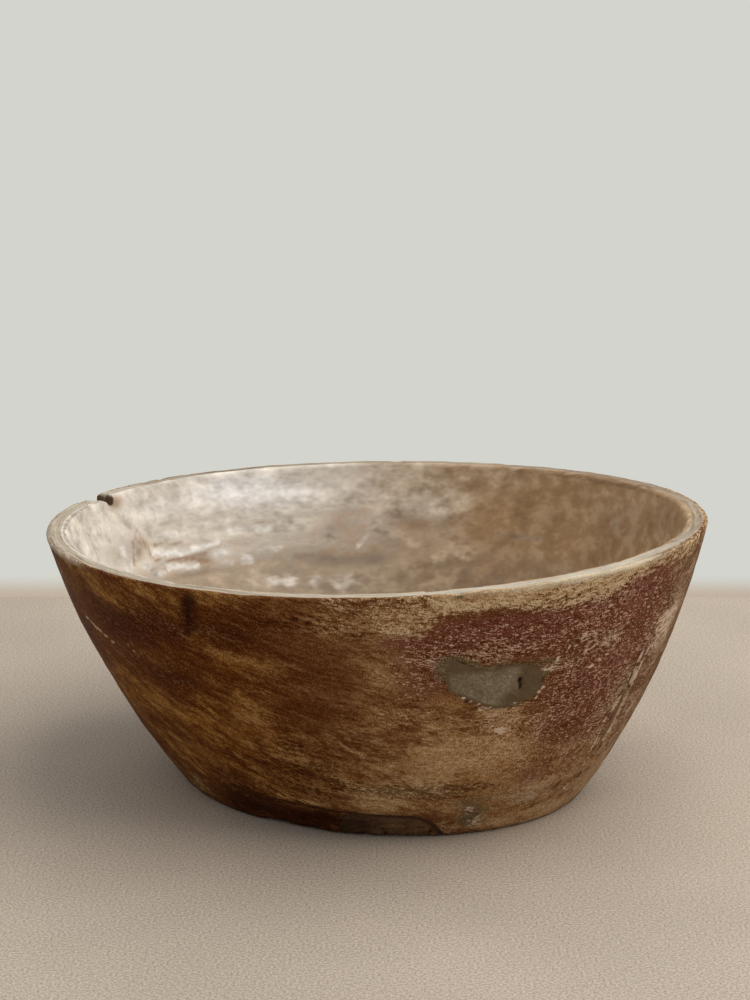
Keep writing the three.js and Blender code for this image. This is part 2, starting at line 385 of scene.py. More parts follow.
def breakTop(turn):
    # height of what is left of the rim at the break; past its ends it clears the rim
    along = alongBreak(turn)
    past = (along < rimBreak["along"][0]) | (along > rimBreak["along"][-1] - 0.5)
    drop = np.interp(along, rimBreak["along"], rimBreak["drop"]) / 1000
    return bowl["rimHeight"] + rimBreak["clear"] * past + drop


def ringFaces(rows, columns):
    # quads between neighbouring rings, each ring closed on itself
    i = np.arange(rows - 1)[:, None] * columns
    j = np.arange(columns)[None, :]
    k = (j + 1) % columns
    quads = np.stack(np.broadcast_arrays(i + j, i + k, i + columns + k, i + columns + j), -1)
    return quads.reshape(-1, 4)


def meshFrom(name, points, rows, columns):
    # rings from points, closed at each end by a fan round one of the two last points
    first = np.arange(columns)[::-1]
    last = np.arange(columns) + (rows - 1) * columns
    faces = ringFaces(rows, columns).tolist()
    for ring, pole in ((first, rows * columns), (last, rows * columns + 1)):
        faces += np.stack([ring, np.roll(ring, -1), np.full(columns, pole)], -1).tolist()
    mesh = bpy.data.meshes.new(name)
    mesh.from_pydata(points.tolist(), [], faces)
    mesh.update()
    mesh.shade_smooth()
    piece = bpy.data.objects.new(name, mesh)
    bpy.context.scene.collection.objects.link(piece)
    return piece


def paintLayer(piece, name, masks):
    # four masks on the vertices, kept as one colour layer
    layer = piece.data.attributes.new(name, "FLOAT_COLOR", "POINT")
    layer.data.foreach_set("color", np.stack(masks, -1).astype(np.float32).ravel())


# soft patches of finish outside: turn, height in mm, half width in degrees, half height in mm, amount
outsideFinish = {
    # dark stains, and painted shade low at the left of the foot
    "umber": [(-133, 146, 13, 14, 0.62), (-139, 138, 8, 10, 0.45), (-132, 108, 6, 9, 0.6),
              (-115, 150, 6, 12, 0.45), (-128, 13, 13, 11, 0.95), (-111, 9, 9, 9, 1.0),
              (-107, 68, 4, 14, 0.15), (-139, 56, 6, 7, 0.35), (-131, 36, 5, 6, 0.4),
              (-104, 140, 6, 24, 0.2), (-124, 154, 2, 14, 0.4), (-117, 36, 6, 6, 0.3),
              (-142, 112, 7, 8, 0.3), (-147, 144, 9, 22, 0.38), (-126, 150, 14, 14, 0.28),
              (-50, 21, 4, 6, 0.4), (-62, 40, 4, 7, 0.35), (-41, 42, 3, 7, 0.35),
              (-142.6, 133.5, 5, 7, 0.35), (-116.2, 147.4, 4, 7, 0.35), (-109.5, 159, 3, 5, 0.35),
              (-131.2, 108.5, 5, 6, 0.3), (-115.2, 166, 3, 4, 0.25), (-93, 76, 4, 9, 0.22),
              (-102, 52, 3, 6, 0.2)],
    "bare": [(-128, 171, 20, 5, 0.5), (-116, 100, 6, 12, 0.52), (-117, 127, 7, 8, 0.55),
             (-114, 76, 6, 9, 0.75), (-127, 80, 12, 18, 0.5), (-150, 82, 9, 16, 0.7),
             (-140, 78, 9, 11, 0.42), (-127, 58, 10, 14, 0.48), (-147, 40, 10, 26, 0.42),
             (-122, 34, 12, 14, 0.2), (-113, 34, 7, 14, 0.5), (-141, 160, 6, 11, 0.6),
             (-91, 130, 5, 24, 0.6), (-90, 98, 8, 16, 0.42), (-80, 65, 14, 22, 0.95),
             (-90, 34, 11, 13, 0.88), (-70, 46, 12, 26, 0.9), (-101, 60, 8, 17, 0.62),
             (-56, 50, 9, 14, 0.6), (-40, 35, 14, 22, 0.75), (-58, 16, 16, 14, 0.75),
             (-90, 163, 7, 10, 0.95), (-106, 48, 7, 13, 0.7), (-101, 52, 6, 12, 0.5), (-66, 86, 6, 8, 0.7),
             (-81, 104, 5, 8, 0.75), (-80, 87, 6, 6, 0.5), (-80, 26, 8, 7, 0.5), (-144, 157, 5, 6, 0.4),
             (-127, 158.4, 2.2, 6, 0.5), (-122.9, 144, 2.2, 6, 0.55), (-119.4, 130, 4, 5, 0.35),
             (-111.5, 129, 5, 5, 0.5), (-105.4, 168, 3, 4, 0.35), (-100.5, 159, 3, 8, 0.5),
             (-150, 94, 4, 7, 0.35), (-108.4, 110, 4, 6, 0.45)],
    "gold": [(-80, 75, 6, 7, 0.8), (-30, 127, 4, 9, 0.7), (-50, 6, 9, 6, 0.55), (-30, 10, 8, 10, 0.4),
             (-46, 36, 3, 6, 0.3), (-55, 32, 4, 6, 0.45), (-36, 45, 3, 7, 0.5), (-88, 158, 3, 6, 0.45),
             (-80, 88, 5, 5, 0.5), (-80, 26, 7, 5, 0.45), (-76, 66, 6, 9, 0.75), (-80, 52, 8, 10, 0.65),
             (-91, 33, 7, 9, 0.75), (-97, 74, 3, 10, 0.45), (-69, 71, 5, 9, 0.7), (-52, 7, 14, 8, 0.75),
             (-93, 62, 5, 12, 0.45), (-36, 16, 12, 18, 0.75), (-66, 60, 6, 14, 0.35), (-48, 55, 6, 10, 0.5),
             (-70, 94, 9, 7, 0.5), (-98, 37, 4, 6, 0.4), (-79, 37, 5, 7, 0.55), (-40, 54, 4, 10, 0.55),
             (-60, 5, 14, 5, 0.5), (-75, 6, 8, 6, 0.5), (-40, 6, 10, 6, 0.5), (-31, 26, 6, 12, 0.7),
             (-103, 50, 5, 8, 0.35), (-95.5, 57, 3, 7, 0.4)],
    "red": [(-73, 151, 13, 12, 1.0), (-54, 150, 11, 16, 1.0), (-64, 146, 10, 12, 0.9),
            (-43, 156, 9, 18, 0.95), (-48, 112, 14, 28, 0.95), (-50, 80, 11, 20, 0.7),
            (-40, 120, 7, 24, 0.6), (-84, 120, 6, 20, 0.42), (-86, 146, 5, 8, 0.4),
            (-132, 140, 12, 18, 0.25), (-70, 136, 12, 8, 0.75), (-108, 150, 5, 18, 0.25),
            (-58, 44.7, 5, 8, 0.5), (-45.5, 45.5, 4, 8, 0.45)],
    # painted sheen with some dust: paler, greyer patches, most of them on the right side towards the lamp
    "dustAndSheen": [(-28, 124, 6, 22, 0.75), (-27, 155, 7, 14, 0.45), (-44, 70, 6, 14, 0.35),
              (-29, 70, 7, 36, 0.3), (-42, 26, 12, 18, 0.35), (-60, 28, 10, 12, 0.25), (-40, 85, 5, 9, 0.6),
              (-40, 104, 4, 9, 0.45), (-75, 134, 9, 6, 0.3), (-60, 116, 5, 8, 0.18), (-60, 126, 4, 5, 0.38),
              (-50, 131, 5, 6, 0.4), (-50, 157, 5, 6, 0.35), (-33, 30, 10, 24, 0.45),
              (-148, 16, 8, 14, 0.3)],
    "dash": [(-72, 148, 14, 12, 0.65), (-53, 148, 10, 18, 0.75), (-48, 100, 18, 42, 0.82),
             (-86, 125, 6, 22, 0.6), (-72, 136, 14, 7, 0.82), (-34, 134, 9, 18, 0.8),
             (-55, 62, 10, 24, 0.6), (-88, 96, 6, 8, 0.5), (-66, 86, 8, 14, 0.8), (-98, 158, 5, 8, 0.5),
             (-40, 60, 12, 24, 0.6), (-58, 116, 6, 12, 0.55), (-44, 158, 8, 10, 0.5)],
    "fleck": [(-84, 39, 16, 6, 0.8), (-108, 55, 8, 26, 0.36), (-100, 160, 10, 10, 0.4),
              (-60, 163, 16, 7, 0.3), (-120, 50, 16, 26, 0.25), (-126, 24, 12, 8, 0.5)],
    # dark marks along the knot and in the nick, and painted shade low at the left of the foot
    "grimeAndShade": [(-123, 168.5, 1.5, 6, 1.1), (-123.6, 154, 2, 10, 0.7), (-127, 10, 11, 11, 0.5),
              (-112, 8, 9, 8, 0.7), (-106, 13, 7, 7, 0.42), (-79.8, 174, 1.3, 2.6, 0.6)],
    "smear": [(-80, 129, 2.6, 7.5, 1.0), (-77.5, 123, 3.4, 5, 1.0), (-68, 123, 4.6, 5, 1.0),
              (-65.4, 114, 2, 8, 0.95), (-63, 125.8, 2.4, 3.2, 0.75), (-70, 91, 3.4, 5, 0.3),
              (-71, 14, 4, 12, 0.66), (-38.6, 75, 1.8, 36, 0.6), (-73, 30, 6, 7, 0.42)],
    "scuff": [(-30, 127, 4, 10, 0.9), (-33, 111, 2, 6, 0.3), (-61, 121, 2, 4, 0.25),
              (-55.5, 136, 2, 3, 0.6), (-46.1, 35.9, 1, 2.6, 0.6), (-42.6, 24, 1, 5, 0.5),
              (-70, 12, 3, 9, 0.18), (-72, 22, 1.1, 3, 0.36), (-69.6, 10, 1.4, 4, 0.36),
              (-69.1, 60.9, 2, 2.6, 0.22)],
}

# soft lines of finish outside: turn, height in mm, turn, height in mm, half width in mm, amount
outsideLines = {
    "scuff": [(-158.2, 134.9, -153.6, 128.3, 1.2, 0.45), (-153.6, 128.3, -147.2, 120.3, 1.2, 0.55),
              (-143.2, 126.1, -139.9, 118.8, 1.1, 0.3), (-64, 120.3, -61.1, 123.2, 0.9, 0.62),
              (-62.1, 120.3, -58.8, 132, 0.9, 0.55), (-61.4, 126, -55.5, 136, 0.9, 0.55),
              (-59.5, 119, -53, 130, 0.8, 0.4), (-36.6, 99, -41.3, 72, 0.8, 0.85),
              (-41.3, 72, -40.7, 50, 0.9, 0.85), (-34.2, 116, -35.6, 99, 1.0, 0.9),
              (-35.6, 99, -37, 59, 0.8, 0.8), (-85.5, 134.2, -82.3, 135, 0.7, 0.42),
              (-74.8, 99, -72.2, 99.7, 0.9, 0.5), (-68.3, 100.2, -67.4, 100.8, 0.8, 0.9),
              (-38.5, 163, -39.5, 149, 0.7, 0.5), (-53, 115, -47.5, 124, 0.8, 0.5),
              (-69.9, 78.6, -68.8, 81.6, 1.1, 1.0), (-72.7, 90.2, -71.5, 84.3, 0.9, 0.75),
              (-71.5, 84.3, -69.1, 81.4, 0.9, 0.9), (-72.6, 93.9, -68, 95.3, 0.7, 0.7)],
    # painted shadow lines under the top of the ledge, over the foot putty and under the wall putty, and a
    # dark streak along the knot
    "grimeAndShade": [(-100, 19.2, -85, 18, 0.8, 0.95), (-85, 18, -81, 13.4, 0.8, 0.95),
              (-81, 13.4, -78, 4, 0.8, 0.85), (-131, 27, -117, 23.4, 1.0, 0.7),
              (-117, 23.4, -100, 19.4, 1.0, 0.9), (-122.8, 170.5, -123.8, 160, 1.9, 1.0),
              (-123.8, 160, -124.7, 147, 2.6, 0.85), (-77.6, 105, -75.6, 103.2, 0.8, 0.95),
              (-69.5, 99.6, -66.5, 103, 0.7, 0.4)],
    "gold": [(-102, 81, -92, 56, 2.2, 0.75), (-117, 27.5, -100, 24, 1.8, 0.5)],
}

# lower edge of the bare band under the rim, in mm, and how clean the band is, by turn
bareBand = {
    "turn": (-180, -140, -118, -102, -99, -94.5, -92, -85, -82.5, -72, -66, -60, -52, -47, -40, -30, -10,
             30, 90, 150, 180),
    "edge": (169, 167, 169, 169, 168, 166, 153, 152, 164, 165.5, 161, 161, 161, 168, 169, 168, 167,
             167, 169, 168, 169),
    "clean": (0.2, 0.1, 0.06, 0.1, 0.28, 0.36, 0.36, 0.46, 1.0, 1.0, 0.95, 0.92, 0.95, 0.72, 0.45, 0.55, 0.6,
              0.6, 0.55, 0.5, 0.4),
}

# soft patches and lines inside, given as those outside
insideFinish = {
    "stain": [(119, 125, 5, 4, 0.42), (110, 125.5, 5, 3, 0.36), (104, 123, 4, 4, 0.4),
              (122, 146, 3, 2.5, 0.45), (95, 131, 5, 8, 0.5), (92, 141, 5, 4, 0.5), (78, 132, 5.5, 6, 0.75),
              (64, 128, 6, 7, 0.4), (51, 161, 5, 5, 0.45), (60, 150, 5, 12, 0.35), (55, 105, 12, 10, 0.55),
              (45, 146, 5, 12, 0.4), (30, 125, 10, 14, 0.5), (147.5, 138, 2.4, 7, 0.5),
              (150.5, 130, 2.5, 6, 0.3), (130, 117, 4, 2.2, 0.6), (80, 119, 7, 7, 0.55),
              (92, 120, 7, 13, 0.45), (56, 124, 6, 6, 0.5), (26, 144, 8, 14, 0.6),
              (151.2, 170, 2.4, 4.5, 1.0)],
    # pale ridges, partly real and partly painted highlight; the broad patches high at the back left are
    # painted highlight
    "ridgeAndHighlight": [(125.2, 118, 2.6, 2.8, 1.1), (118.4, 112.2, 2, 3, 1.2), (124.6, 110.7, 2.2, 2, 0.6),
              (111.9, 93.9, 1.8, 3.4, 0.8), (108.5, 92, 2, 3, 0.85), (101.9, 91.7, 1.4, 3.4, 0.7),
              (96.1, 87.3, 1.8, 3.4, 0.9), (93.2, 91, 1.4, 3.4, 0.8), (82.4, 124, 1.8, 4, 0.85),
              (78, 118, 1.8, 3.4, 0.95), (67.5, 116.6, 2, 5, 0.85), (64.5, 110, 1.8, 4.5, 0.8),
              (71.2, 108.5, 2, 3.5, 0.8), (155, 125.4, 1.6, 4, 0.8), (154, 137, 1.6, 5, 0.5),
              (144.9, 113.7, 2, 2.2, 1.1), (111.8, 117.3, 2.6, 2.2, 0.8), (147.6, 121, 1.6, 2.4, 0.95),
              (117, 163, 7, 7, 0.95), (106, 155, 7, 8, 0.55), (122, 168, 6, 4, 0.6), (52, 148, 3, 3, 0.3),
              (92, 92, 5, 4, 0.4), (116, 97, 5, 6, 0.15), (114, 150, 7, 8, 0.45), (80, 157, 7, 8, 0.35)],
    "greyAndShade": [(136, 147, 3.6, 2.6, 0.55), (127, 144, 4, 2, 0.45), (112.6, 147, 3, 2, 0.55),
             (112, 137.4, 4, 1.5, 0.5), (88.9, 160, 1.4, 2.6, 0.6), (107, 160.6, 2.2, 2.2, 0.4),
             (102, 140, 5, 3, 0.4), (104, 110, 6, 3, 0.7), (97, 106, 6, 3.4, 0.8), (87, 107, 5, 4, 0.75),
             (135, 108, 6, 3, 0.7), (52, 128, 5, 1.5, 0.9), (46, 129, 3, 1.3, 0.6), (25, 148, 4, 1.4, 0.5),
             (158, 136, 8, 12, 0.3), (12, 162, 12, 12, 0.32), (24, 138, 10, 14, 0.18), (98, 95, 20, 6, 0.2),
             (129, 121, 7, 8, 0.38), (141, 137, 6, 6, 0.28), (152, 135, 4, 7, 0.45),
             (30, 160, 10, 12, 0.15)],
    # the gloss patches get a clear coat and a painted highlight: near-white colour high on the back left
    # inside
    "glossAndPaintedGleam": [(116, 163, 9, 9, 0.9), (107, 157, 8, 9, 0.5), (124, 160, 8, 8, 0.4), (140, 158, 8, 7, 0.3)],
}
insideLines = {
    "stain": [(147.2, 147.5, 150, 138, 1.6, 0.5), (150, 138, 152, 126, 1.8, 0.6),
              (147, 148, 146.2, 138, 1.5, 0.5), (146.2, 138, 145.4, 128.5, 1.9, 0.7),
              (143.2, 134.2, 135, 130.5, 1.5, 0.75), (145, 124.7, 140.6, 120.4, 1.3, 0.7),
              (140.6, 120.4, 134.5, 118.8, 1.4, 0.85), (134.5, 118.8, 129.6, 120.3, 1.4, 0.75),
              (129.6, 120.3, 125, 122.5, 1.3, 0.55), (147.2, 118.1, 142.4, 115.1, 1.3, 0.7),
              (115.2, 138, 109.4, 136.4, 1.4, 0.5), (132.9, 117.3, 127.6, 113.9, 1.5, 0.75)],
    "ridgeAndHighlight": [(144, 128.3, 135.9, 124.2, 2.0, 0.95), (135.9, 124.2, 130, 124.7, 1.9, 0.95),
              (130, 124.7, 124.6, 126.9, 1.7, 0.9), (122, 133.8, 110, 131.5, 1.7, 0.85),
              (110, 131.5, 104.5, 131, 1.4, 0.5), (140.8, 116.8, 132.4, 112.2, 1.9, 1.05),
              (85.2, 134.2, 90.9, 115.1, 1.9, 0.85), (141, 139, 128, 136, 2.4, 0.4)],
}

# clouds of finish where no patch is placed: size in metres, seed, and share of the finish
clouds = {
    "red": (0.085, 21, 0.52), "bare": (0.075, 22, 0.62), "dash": (0.060, 23, 0.55),
    "fleck": (0.050, 24, 0.4), "umber": (0.065, 28, 0.4), "gold": (0.045, 29, 0.3),
    "wash": (0.070, 25, 0.06), "stain": (0.040, 26, 0.4), "ridgeAndHighlight": (0.022, 27, 0.3),
    "crumb": (0.005, 31, 0.85), "fringe": (0.009, 32, 0.06),
}

# where the finish changes, by turn in degrees or height in mm: four numbers are where it rises, is full,
# fades and is gone, three are a middle and the degrees from it to full and gone, and two are from and to
outsideReach = {
    "seen": (-90, 55, 85), "oiled": (-170, 45, 82), "ledge": (-131, -118, -100, -97),
    "hollow": (-131, -120, -104, -95), "hollowTop": (7, 21), "lowEdgeTurn": (-85, -112), "lowEdgeTop": (0.5, 5),
    "lipsFrom": (46, 60), "crumbsTop": (106, 114),
}
rimReach = {
    "washed": (-40, 0, 95, 120), "aged": (-52, -8, 125, 152), "agedLeft": (-150, 35, 62),
    "backLeft": (180, 20, 42), "arris": (-60, 22, 42), "leftLine": (190, 32, 46),
    "backLine": (15, 50, 149, 152), "backTop": (0, 22, 40, 75),
    "paleTurn": -55, "paleSpread": 22, "grooveTurn": -36, "grooveSpread": 13,
}
insideReach = {
    "worn": (-15, 52, 137), "low": (98, 134), "deep": (50, 88), "shadow": (5, 25, 88, 100),
    "shadowFrom": (165, 171), "seen": (90, 88, 105), "seenFrom": (60, 85),
}

# two splits inside, and a place where the wash is thicker
insideSplits = [(58, 128.8, 47, 130.4, 2.1, 0.45), (30, 149, 22, 147.5, 1.2, 0.4)]
thickWash = [(74, 150, 10, 18, 0.13)]

# colour layers of the shell, with the four masks that each holds
shellLayers = {
    "sides": ("outside", "aged", "inside", "arris"),
    "paint": ("red", "bare", "band", "dash"),
    "shade": ("umber", "gold", "dustAndSheen", "low"),
    "marks": ("grimeAndShade", "smear", "scuff", "fleck"),
    "inner": ("wash", "stain", "ridgeAndHighlight", "greyAndShade"),
    "lines": ("edgeLine", "glossAndPaintedGleam", "broken", "oiled"),
}


def columnTurns():
    # add up 1/step around the bowl and cut the sum into equal parts
    fine = 0.05
    turn = np.linspace(-180, 180, round(360 / fine) + 1)
    share = fine / np.interp(turn[:-1] + fine / 2, columnPlan["turn"], columnPlan["step"])
    count = np.concatenate([[0], np.cumsum(share)])
    n = int(count[-1])
    return np.interp(np.arange(n) / n * count[-1], count, turn)


def makeBowl():
    # rings of the profile, stood off by the relief, with the break pressed down, then seasoned
    columns = columnTurns()
    n = len(columns)
    rows = len(profile)
    turn = columns[None, :] * np.ones((rows, 1))
    angle = np.radians(turn)
    run, r, z, zone = (v[:, None] * np.ones(n) for v in (profileRun, *profile.T, profileZone))
    spots = np.stack([r * np.cos(angle), r * np.sin(angle), z], -1)
    height = z * 1000
    lift = shellRelief(turn, height, run, spots) / 1000
    lift[(profileZone == underZone) | (profileZone == floorZone)] *= handWork["flatShare"]
    r = r + lift * profileNormal[:, 0][:, None]
    z = z + lift * profileNormal[:, 1][:, None]
    top = breakTop(turn) + rimBreak["rough"] * ripple(spots, rimBreak["roughSize"], 10)
    pressed = np.where(z > top, top + rimBreak["squeeze"] * (z - top), z)
    outer = (zone == wallZone) | (zone == outerEdgeZone)
    inner = (zone == innerEdgeZone) | (zone == insideZone)
    r = np.where((z > top) & outer, r - outsideRadius(z) + outsideRadius(pressed), r)
    r = np.where((z > top) & inner, r - insideRadius(z) + insideRadius(pressed), r)
    z = np.maximum(np.where(zone >= wallZone, pressed, z), 0.0)
    p = np.stack([r * np.cos(angle), r * np.sin(angle), z], -1)
    poles = season(np.array([[0.0, 0, 0], [0.0, 0, bowl["floorThickness"] - bowl["floorDish"]]]))
    points = np.concatenate([season(p).reshape(-1, 3), poles])
    piece = meshFrom("bowlShell", points, rows, n)
    paintShell(piece, turn, height, run, spots, zone)
    paintDrum(piece, turn, run)
    return piece


def withPoles(values):
    # the two poles take the mean of the first and last ring
    return np.concatenate([values.ravel(), [values[0].mean(), values[-1].mean()]])


def placedMarks(turn, height, finish, lines):
    # masks of the placed patches, each with its placed lines over it
    marks = {name: patches(turn, height, places) for name, places in finish.items()}
    for name, rows in lines.items():
        marks[name] = np.maximum(marks[name], strokes(turn, height, rows))
    return marks


def cloudOf(spots, name):
    size, seed, share = clouds[name]
    return ripple(spots, size, seed), share


def outsideMasks(turn, height, run, spots):
    reach = outsideReach
    out = placedMarks(turn, height, outsideFinish, outsideLines)
    # the unseen side goes on in the same way, with clouds instead of placed patches: red high and bare low
    back = 1 - nearTurn(turn, *reach["seen"])
    level = {"red": (height - 95) / 70, "bare": (75 - height) / 60}
    for name in ("red", "bare", "dash", "fleck", "umber", "gold"):
        cloud, share = cloudOf(spots, name)
        limits = (-0.6, 1.7) if name in level else (-0.3, 1.6)
        cloud = smooth(*limits, cloud + level.get(name, 0))
        out[name] = np.maximum(out[name], back * share * cloud)
    edge = np.interp(turn, bareBand["turn"], bareBand["edge"])
    clean = np.interp(turn, bareBand["turn"], bareBand["clean"])
    out["band"] = smooth(edge - 7, edge + 6, height) * clean
    # painted shade: the left side, and half of the unseen side, is made darker and warmer
    out["oiled"] = np.maximum(nearTurn(turn, *reach["oiled"]), 0.5 * back)
    # painted shadow under the ledge, dirt round the foot putty, darker along the lowest few mm and most at
    # the left, and painted shade in the hollow at the left
    ledge = bell(height - ledgeHeight(turn) + 0.8, 1.5) * within(turn, *reach["ledge"])
    seam = bell(shareOfOutline(footPutty, turn, run) - 1.02, 0.035) * (height < 40)
    lowEdge = (0.25 + 0.6 * smooth(*reach["lowEdgeTurn"], turn)) * (1 - smooth(*reach["lowEdgeTop"], height))
    hollow = within(turn, *reach["hollow"]) * (1 - smooth(*reach["hollowTop"], height))
    out["grimeAndShade"] = np.maximum.reduce([out["grimeAndShade"], 0.8 * ledge, 0.85 * seam, lowEdge, 0.7 * hollow])
    # pale lips along the crack, and crumbs and a smear round the wall putty
    crack = shareOfOutline(crackPutty, turn, run)
    lips = within(crack, 0.95, 1.05, 1.08, 1.24) * smooth(*reach["lipsFrom"], height)
    patch = shareOfOutline(wallPutty, turn, run)
    crumb, share = cloudOf(spots, "crumb")
    crumbs = bell(patch - 1.05, 0.055) * (1 - smooth(*reach["crumbsTop"], height)) * smooth(0.2, 1.2, crumb)
    scuff = np.where(crack < 0.9, 0.0, out["scuff"])
    out["scuff"] = np.maximum.reduce([scuff, 1.15 * lips, share * crumbs])
    fringe, share = cloudOf(spots, "fringe")
    out["smear"] = np.maximum(out["smear"], 0.9 * (1 - smooth(1.03, 1.13, patch + share * fringe)))
    return out


def rimMasks(turn, height, run, zone):
    reach = rimReach
    outer, inner, inside = zone == outerEdgeZone, zone == innerEdgeZone, zone == insideZone
    rim = {}
    pale = bell(turnAway(turn, reach["paleTurn"]), reach["paleSpread"])
    painted = 0.86 - 0.5 * pale - 0.45 * nearTurn(turn, *reach["backLeft"])
    rim["outside"] = (zone <= wallZone) * 1.0 + outer * painted
    rim["inside"] = (zone >= insideZone) * 1.0 + inner * (0.75 + 0.25 * within(turn, *reach["washed"]))
    rim["aged"] = np.maximum(within(turn, *reach["aged"]), 0.42 * nearTurn(turn, *reach["agedLeft"]))
    rim["arris"] = outer * nearTurn(turn, *reach["arris"])
    # dark lines: inner edge at the left, outer edge at the back, a groove at the right, two splits inside
    innerRun = profileRun[profileZone == innerEdgeZone].mean() - 0.0003
    outerRun = profileRun[profileZone == outerEdgeZone].mean()
    leftLine = bell(run - innerRun, 0.0013) * nearTurn(turn, *reach["leftLine"])
    backLine = bell(run - outerRun, 0.0016) * within(turn, *reach["backLine"])
    groove = bell(turnAway(turn, reach["grooveTurn"]), reach["grooveSpread"])
    groove = bell(run - outerRun - 0.0022, 0.0015) * groove
    split = strokes(turn, height, insideSplits) * inside
    backTop = ((zone == rimZone) * 0.42 + inner * 0.5) * within(turn, *reach["backTop"])
    rim["edgeLine"] = np.maximum.reduce([0.6 * leftLine, 0.9 * backLine, 0.7 * groove, split, backTop])
    # bare broken wood in the gap of the rim, darkened as painted shade, and a little of it below on the
    # inside
    along = alongBreak(turn)
    gap = np.exp(-((along + 14.6) / 5.6) ** 4 - ((height - 173) / 6.5) ** 4) * (zone <= innerEdgeZone)
    under = 0.45 * np.exp(-((along + 15.5) / 4.0) ** 4) * smooth(166, 170, height) * inside
    rim["broken"] = np.maximum(gap, under)
    return rim


def insideMasks(turn, height, spots, zone):
    reach = insideReach
    inn = placedMarks(turn, height, insideFinish, insideLines)
    # the wash is thick at the left and worn off at the right
    cloud, share = cloudOf(spots, "wash")
    inn["wash"] = 1 - nearTurn(turn, *reach["worn"]) + share * cloud
    inn["wash"] = inn["wash"] + patches(turn, height, thickWash)
    deep = (1 - smooth(*reach["deep"], height)) * (zone >= insideZone)
    inn["low"] = 1 - smooth(*reach["low"], height) + deep
    # painted shade: a grey band just under the inner edge at the back
    shadow = 0.14 * smooth(*reach["shadowFrom"], height) * within(turn, *reach["shadow"])
    inn["greyAndShade"] = np.maximum(inn["greyAndShade"], shadow)
    unseen = 1 - np.minimum(smooth(*reach["seenFrom"], height), nearTurn(turn, *reach["seen"]))
    for name, low, high in (("stain", -0.3, 2.0), ("ridgeAndHighlight", 0.7, 2.4)):
        cloud, share = cloudOf(spots, name)
        inn[name] = np.maximum(inn[name], unseen * share * smooth(low, high, cloud))
    return inn


def paintShell(piece, turn, height, run, spots, zone):
    masks = {**outsideMasks(turn, height, run, spots), **rimMasks(turn, height, run, zone),
             **insideMasks(turn, height, spots, zone)}
    for layer, names in shellLayers.items():
        paintLayer(piece, layer, [withPoles(masks[name]) for name in names])


def paintDrum(piece, turn, run):
    # the surface rolled out on a drum: its angle stays and its height is the run along the profile; the two
    # floors shrink to a point
    under, floor = profileZone == underZone, profileZone == floorZone
    floorEdge = profile[profileZone == cornerZone][-1, 0]
    inward = np.where(under | floor, profile[:, 0], 1.0)
    edges = np.where(under, bowl["footRadius"], np.where(floor, floorEdge, 1.0))
    wide = ringPlan["drumRadius"] * np.minimum(inward / edges, 1.0)[:, None]
    angle = np.radians(turn)
    drum = np.stack([wide * np.cos(angle), wide * np.sin(angle), run], -1).reshape(-1, 3)
    drum = np.concatenate([drum, [[0, 0, 0], [0, 0, profileRun[-1]]]])
    layer = piece.data.attributes.new("drum", "FLOAT_VECTOR", "POINT")
    layer.data.foreach_set("vector", drum.astype(np.float32).ravel())


# rings and columns of a filling; past the outline it turns under, by these shares of the outline; sizes of
# its lumps in metres, and how far its top and its underside keep off the pocket's floor in mm
puttyPlan = {
    "rings": 34, "around": 264, "reach": 1.08, "under": (1.07, 0.8, 0.4, 0.12),
    "lumpSize": 0.011, "crumbSize": 0.0042, "topGap": 0.35, "underGap": 0.15,
}


def puttyStain(filling, across, up):
    # where a filling has taken the colour of what lies round it
    if filling is footPutty:
        return 1 - smooth(-30, 14, across)
    if filling is wallPutty:
        lowRight = smooth(3, 12, across) * (1 - smooth(-11, -5, up))
        return np.maximum.reduce([smooth(11, 19, across), smooth(8, 13, up), lowRight])
    return np.zeros_like(up)


def makePutty(name, filling):
    # rings of the outline from the middle out, over the edge and back under to a second pole
    rings, around = puttyPlan["rings"], puttyPlan["around"]
    curve = outlineCurve(filling["outline"], around)
    edge = np.concatenate([np.linspace(0, puttyPlan["reach"], rings + 1)[1:], puttyPlan["under"]])
    flat = edge[:, None, None] * curve[None]
    across, up = flat[..., 0], flat[..., 1]
    spots = np.stack([across, up, np.zeros_like(up)], -1) / 1000
    lumps = ripple(spots, puttyPlan["lumpSize"], filling["seed"])
    lumps = lumps + 0.5 * ripple(spots, puttyPlan["crumbSize"], filling["seed"] + 20)
    top = -filling["recess"] + filling["lumps"] * lumps
    pit = np.zeros_like(top)
    for x, y, wide, tall, depth in filling["pits"]:
        hollow = np.exp(-((across - x) / wide) ** 2 - ((up - y) / tall) ** 2)
        top = top - depth * hollow
        # painted shade in each pit, as strong as the pit is deep, to a limit
        pit = np.maximum(pit, clamp01(depth) * hollow)
    # the top keeps off the underside, which lies just over the pocket's floor
    top = np.maximum(top, puttyPlan["topGap"] - filling["depth"])
    under = np.arange(len(edge))[:, None] >= rings
    lift = np.where(under, puttyPlan["underGap"] - filling["depth"], top)
    lift[rings] = 0.5 * (lift[rings] + lift[rings - 1])
    centreRun, radius = middleOf(filling)
    turn = filling["turn"] + np.degrees(across / 1000 / radius)
    body = onShell(turn, centreRun + up / 1000, lift / 1000)
    poleLift = np.array([lift[0].mean(), lift[-1].mean()]) / 1000
    poles = onShell(np.full(2, filling["turn"]), np.full(2, centreRun), poleLift)
    piece = meshFrom(name, np.concatenate([body.reshape(-1, 3), poles]), len(edge), around)
    rim = smooth(filling["edgeFrom"], 1.0, edge)[:, None] * np.ones(around)
    masks = (rim, pit, lumps * 0.2 + 0.5, puttyStain(filling, across, up))
    paintLayer(piece, "putty", [withPoles(mask) for mask in masks])
    return piece


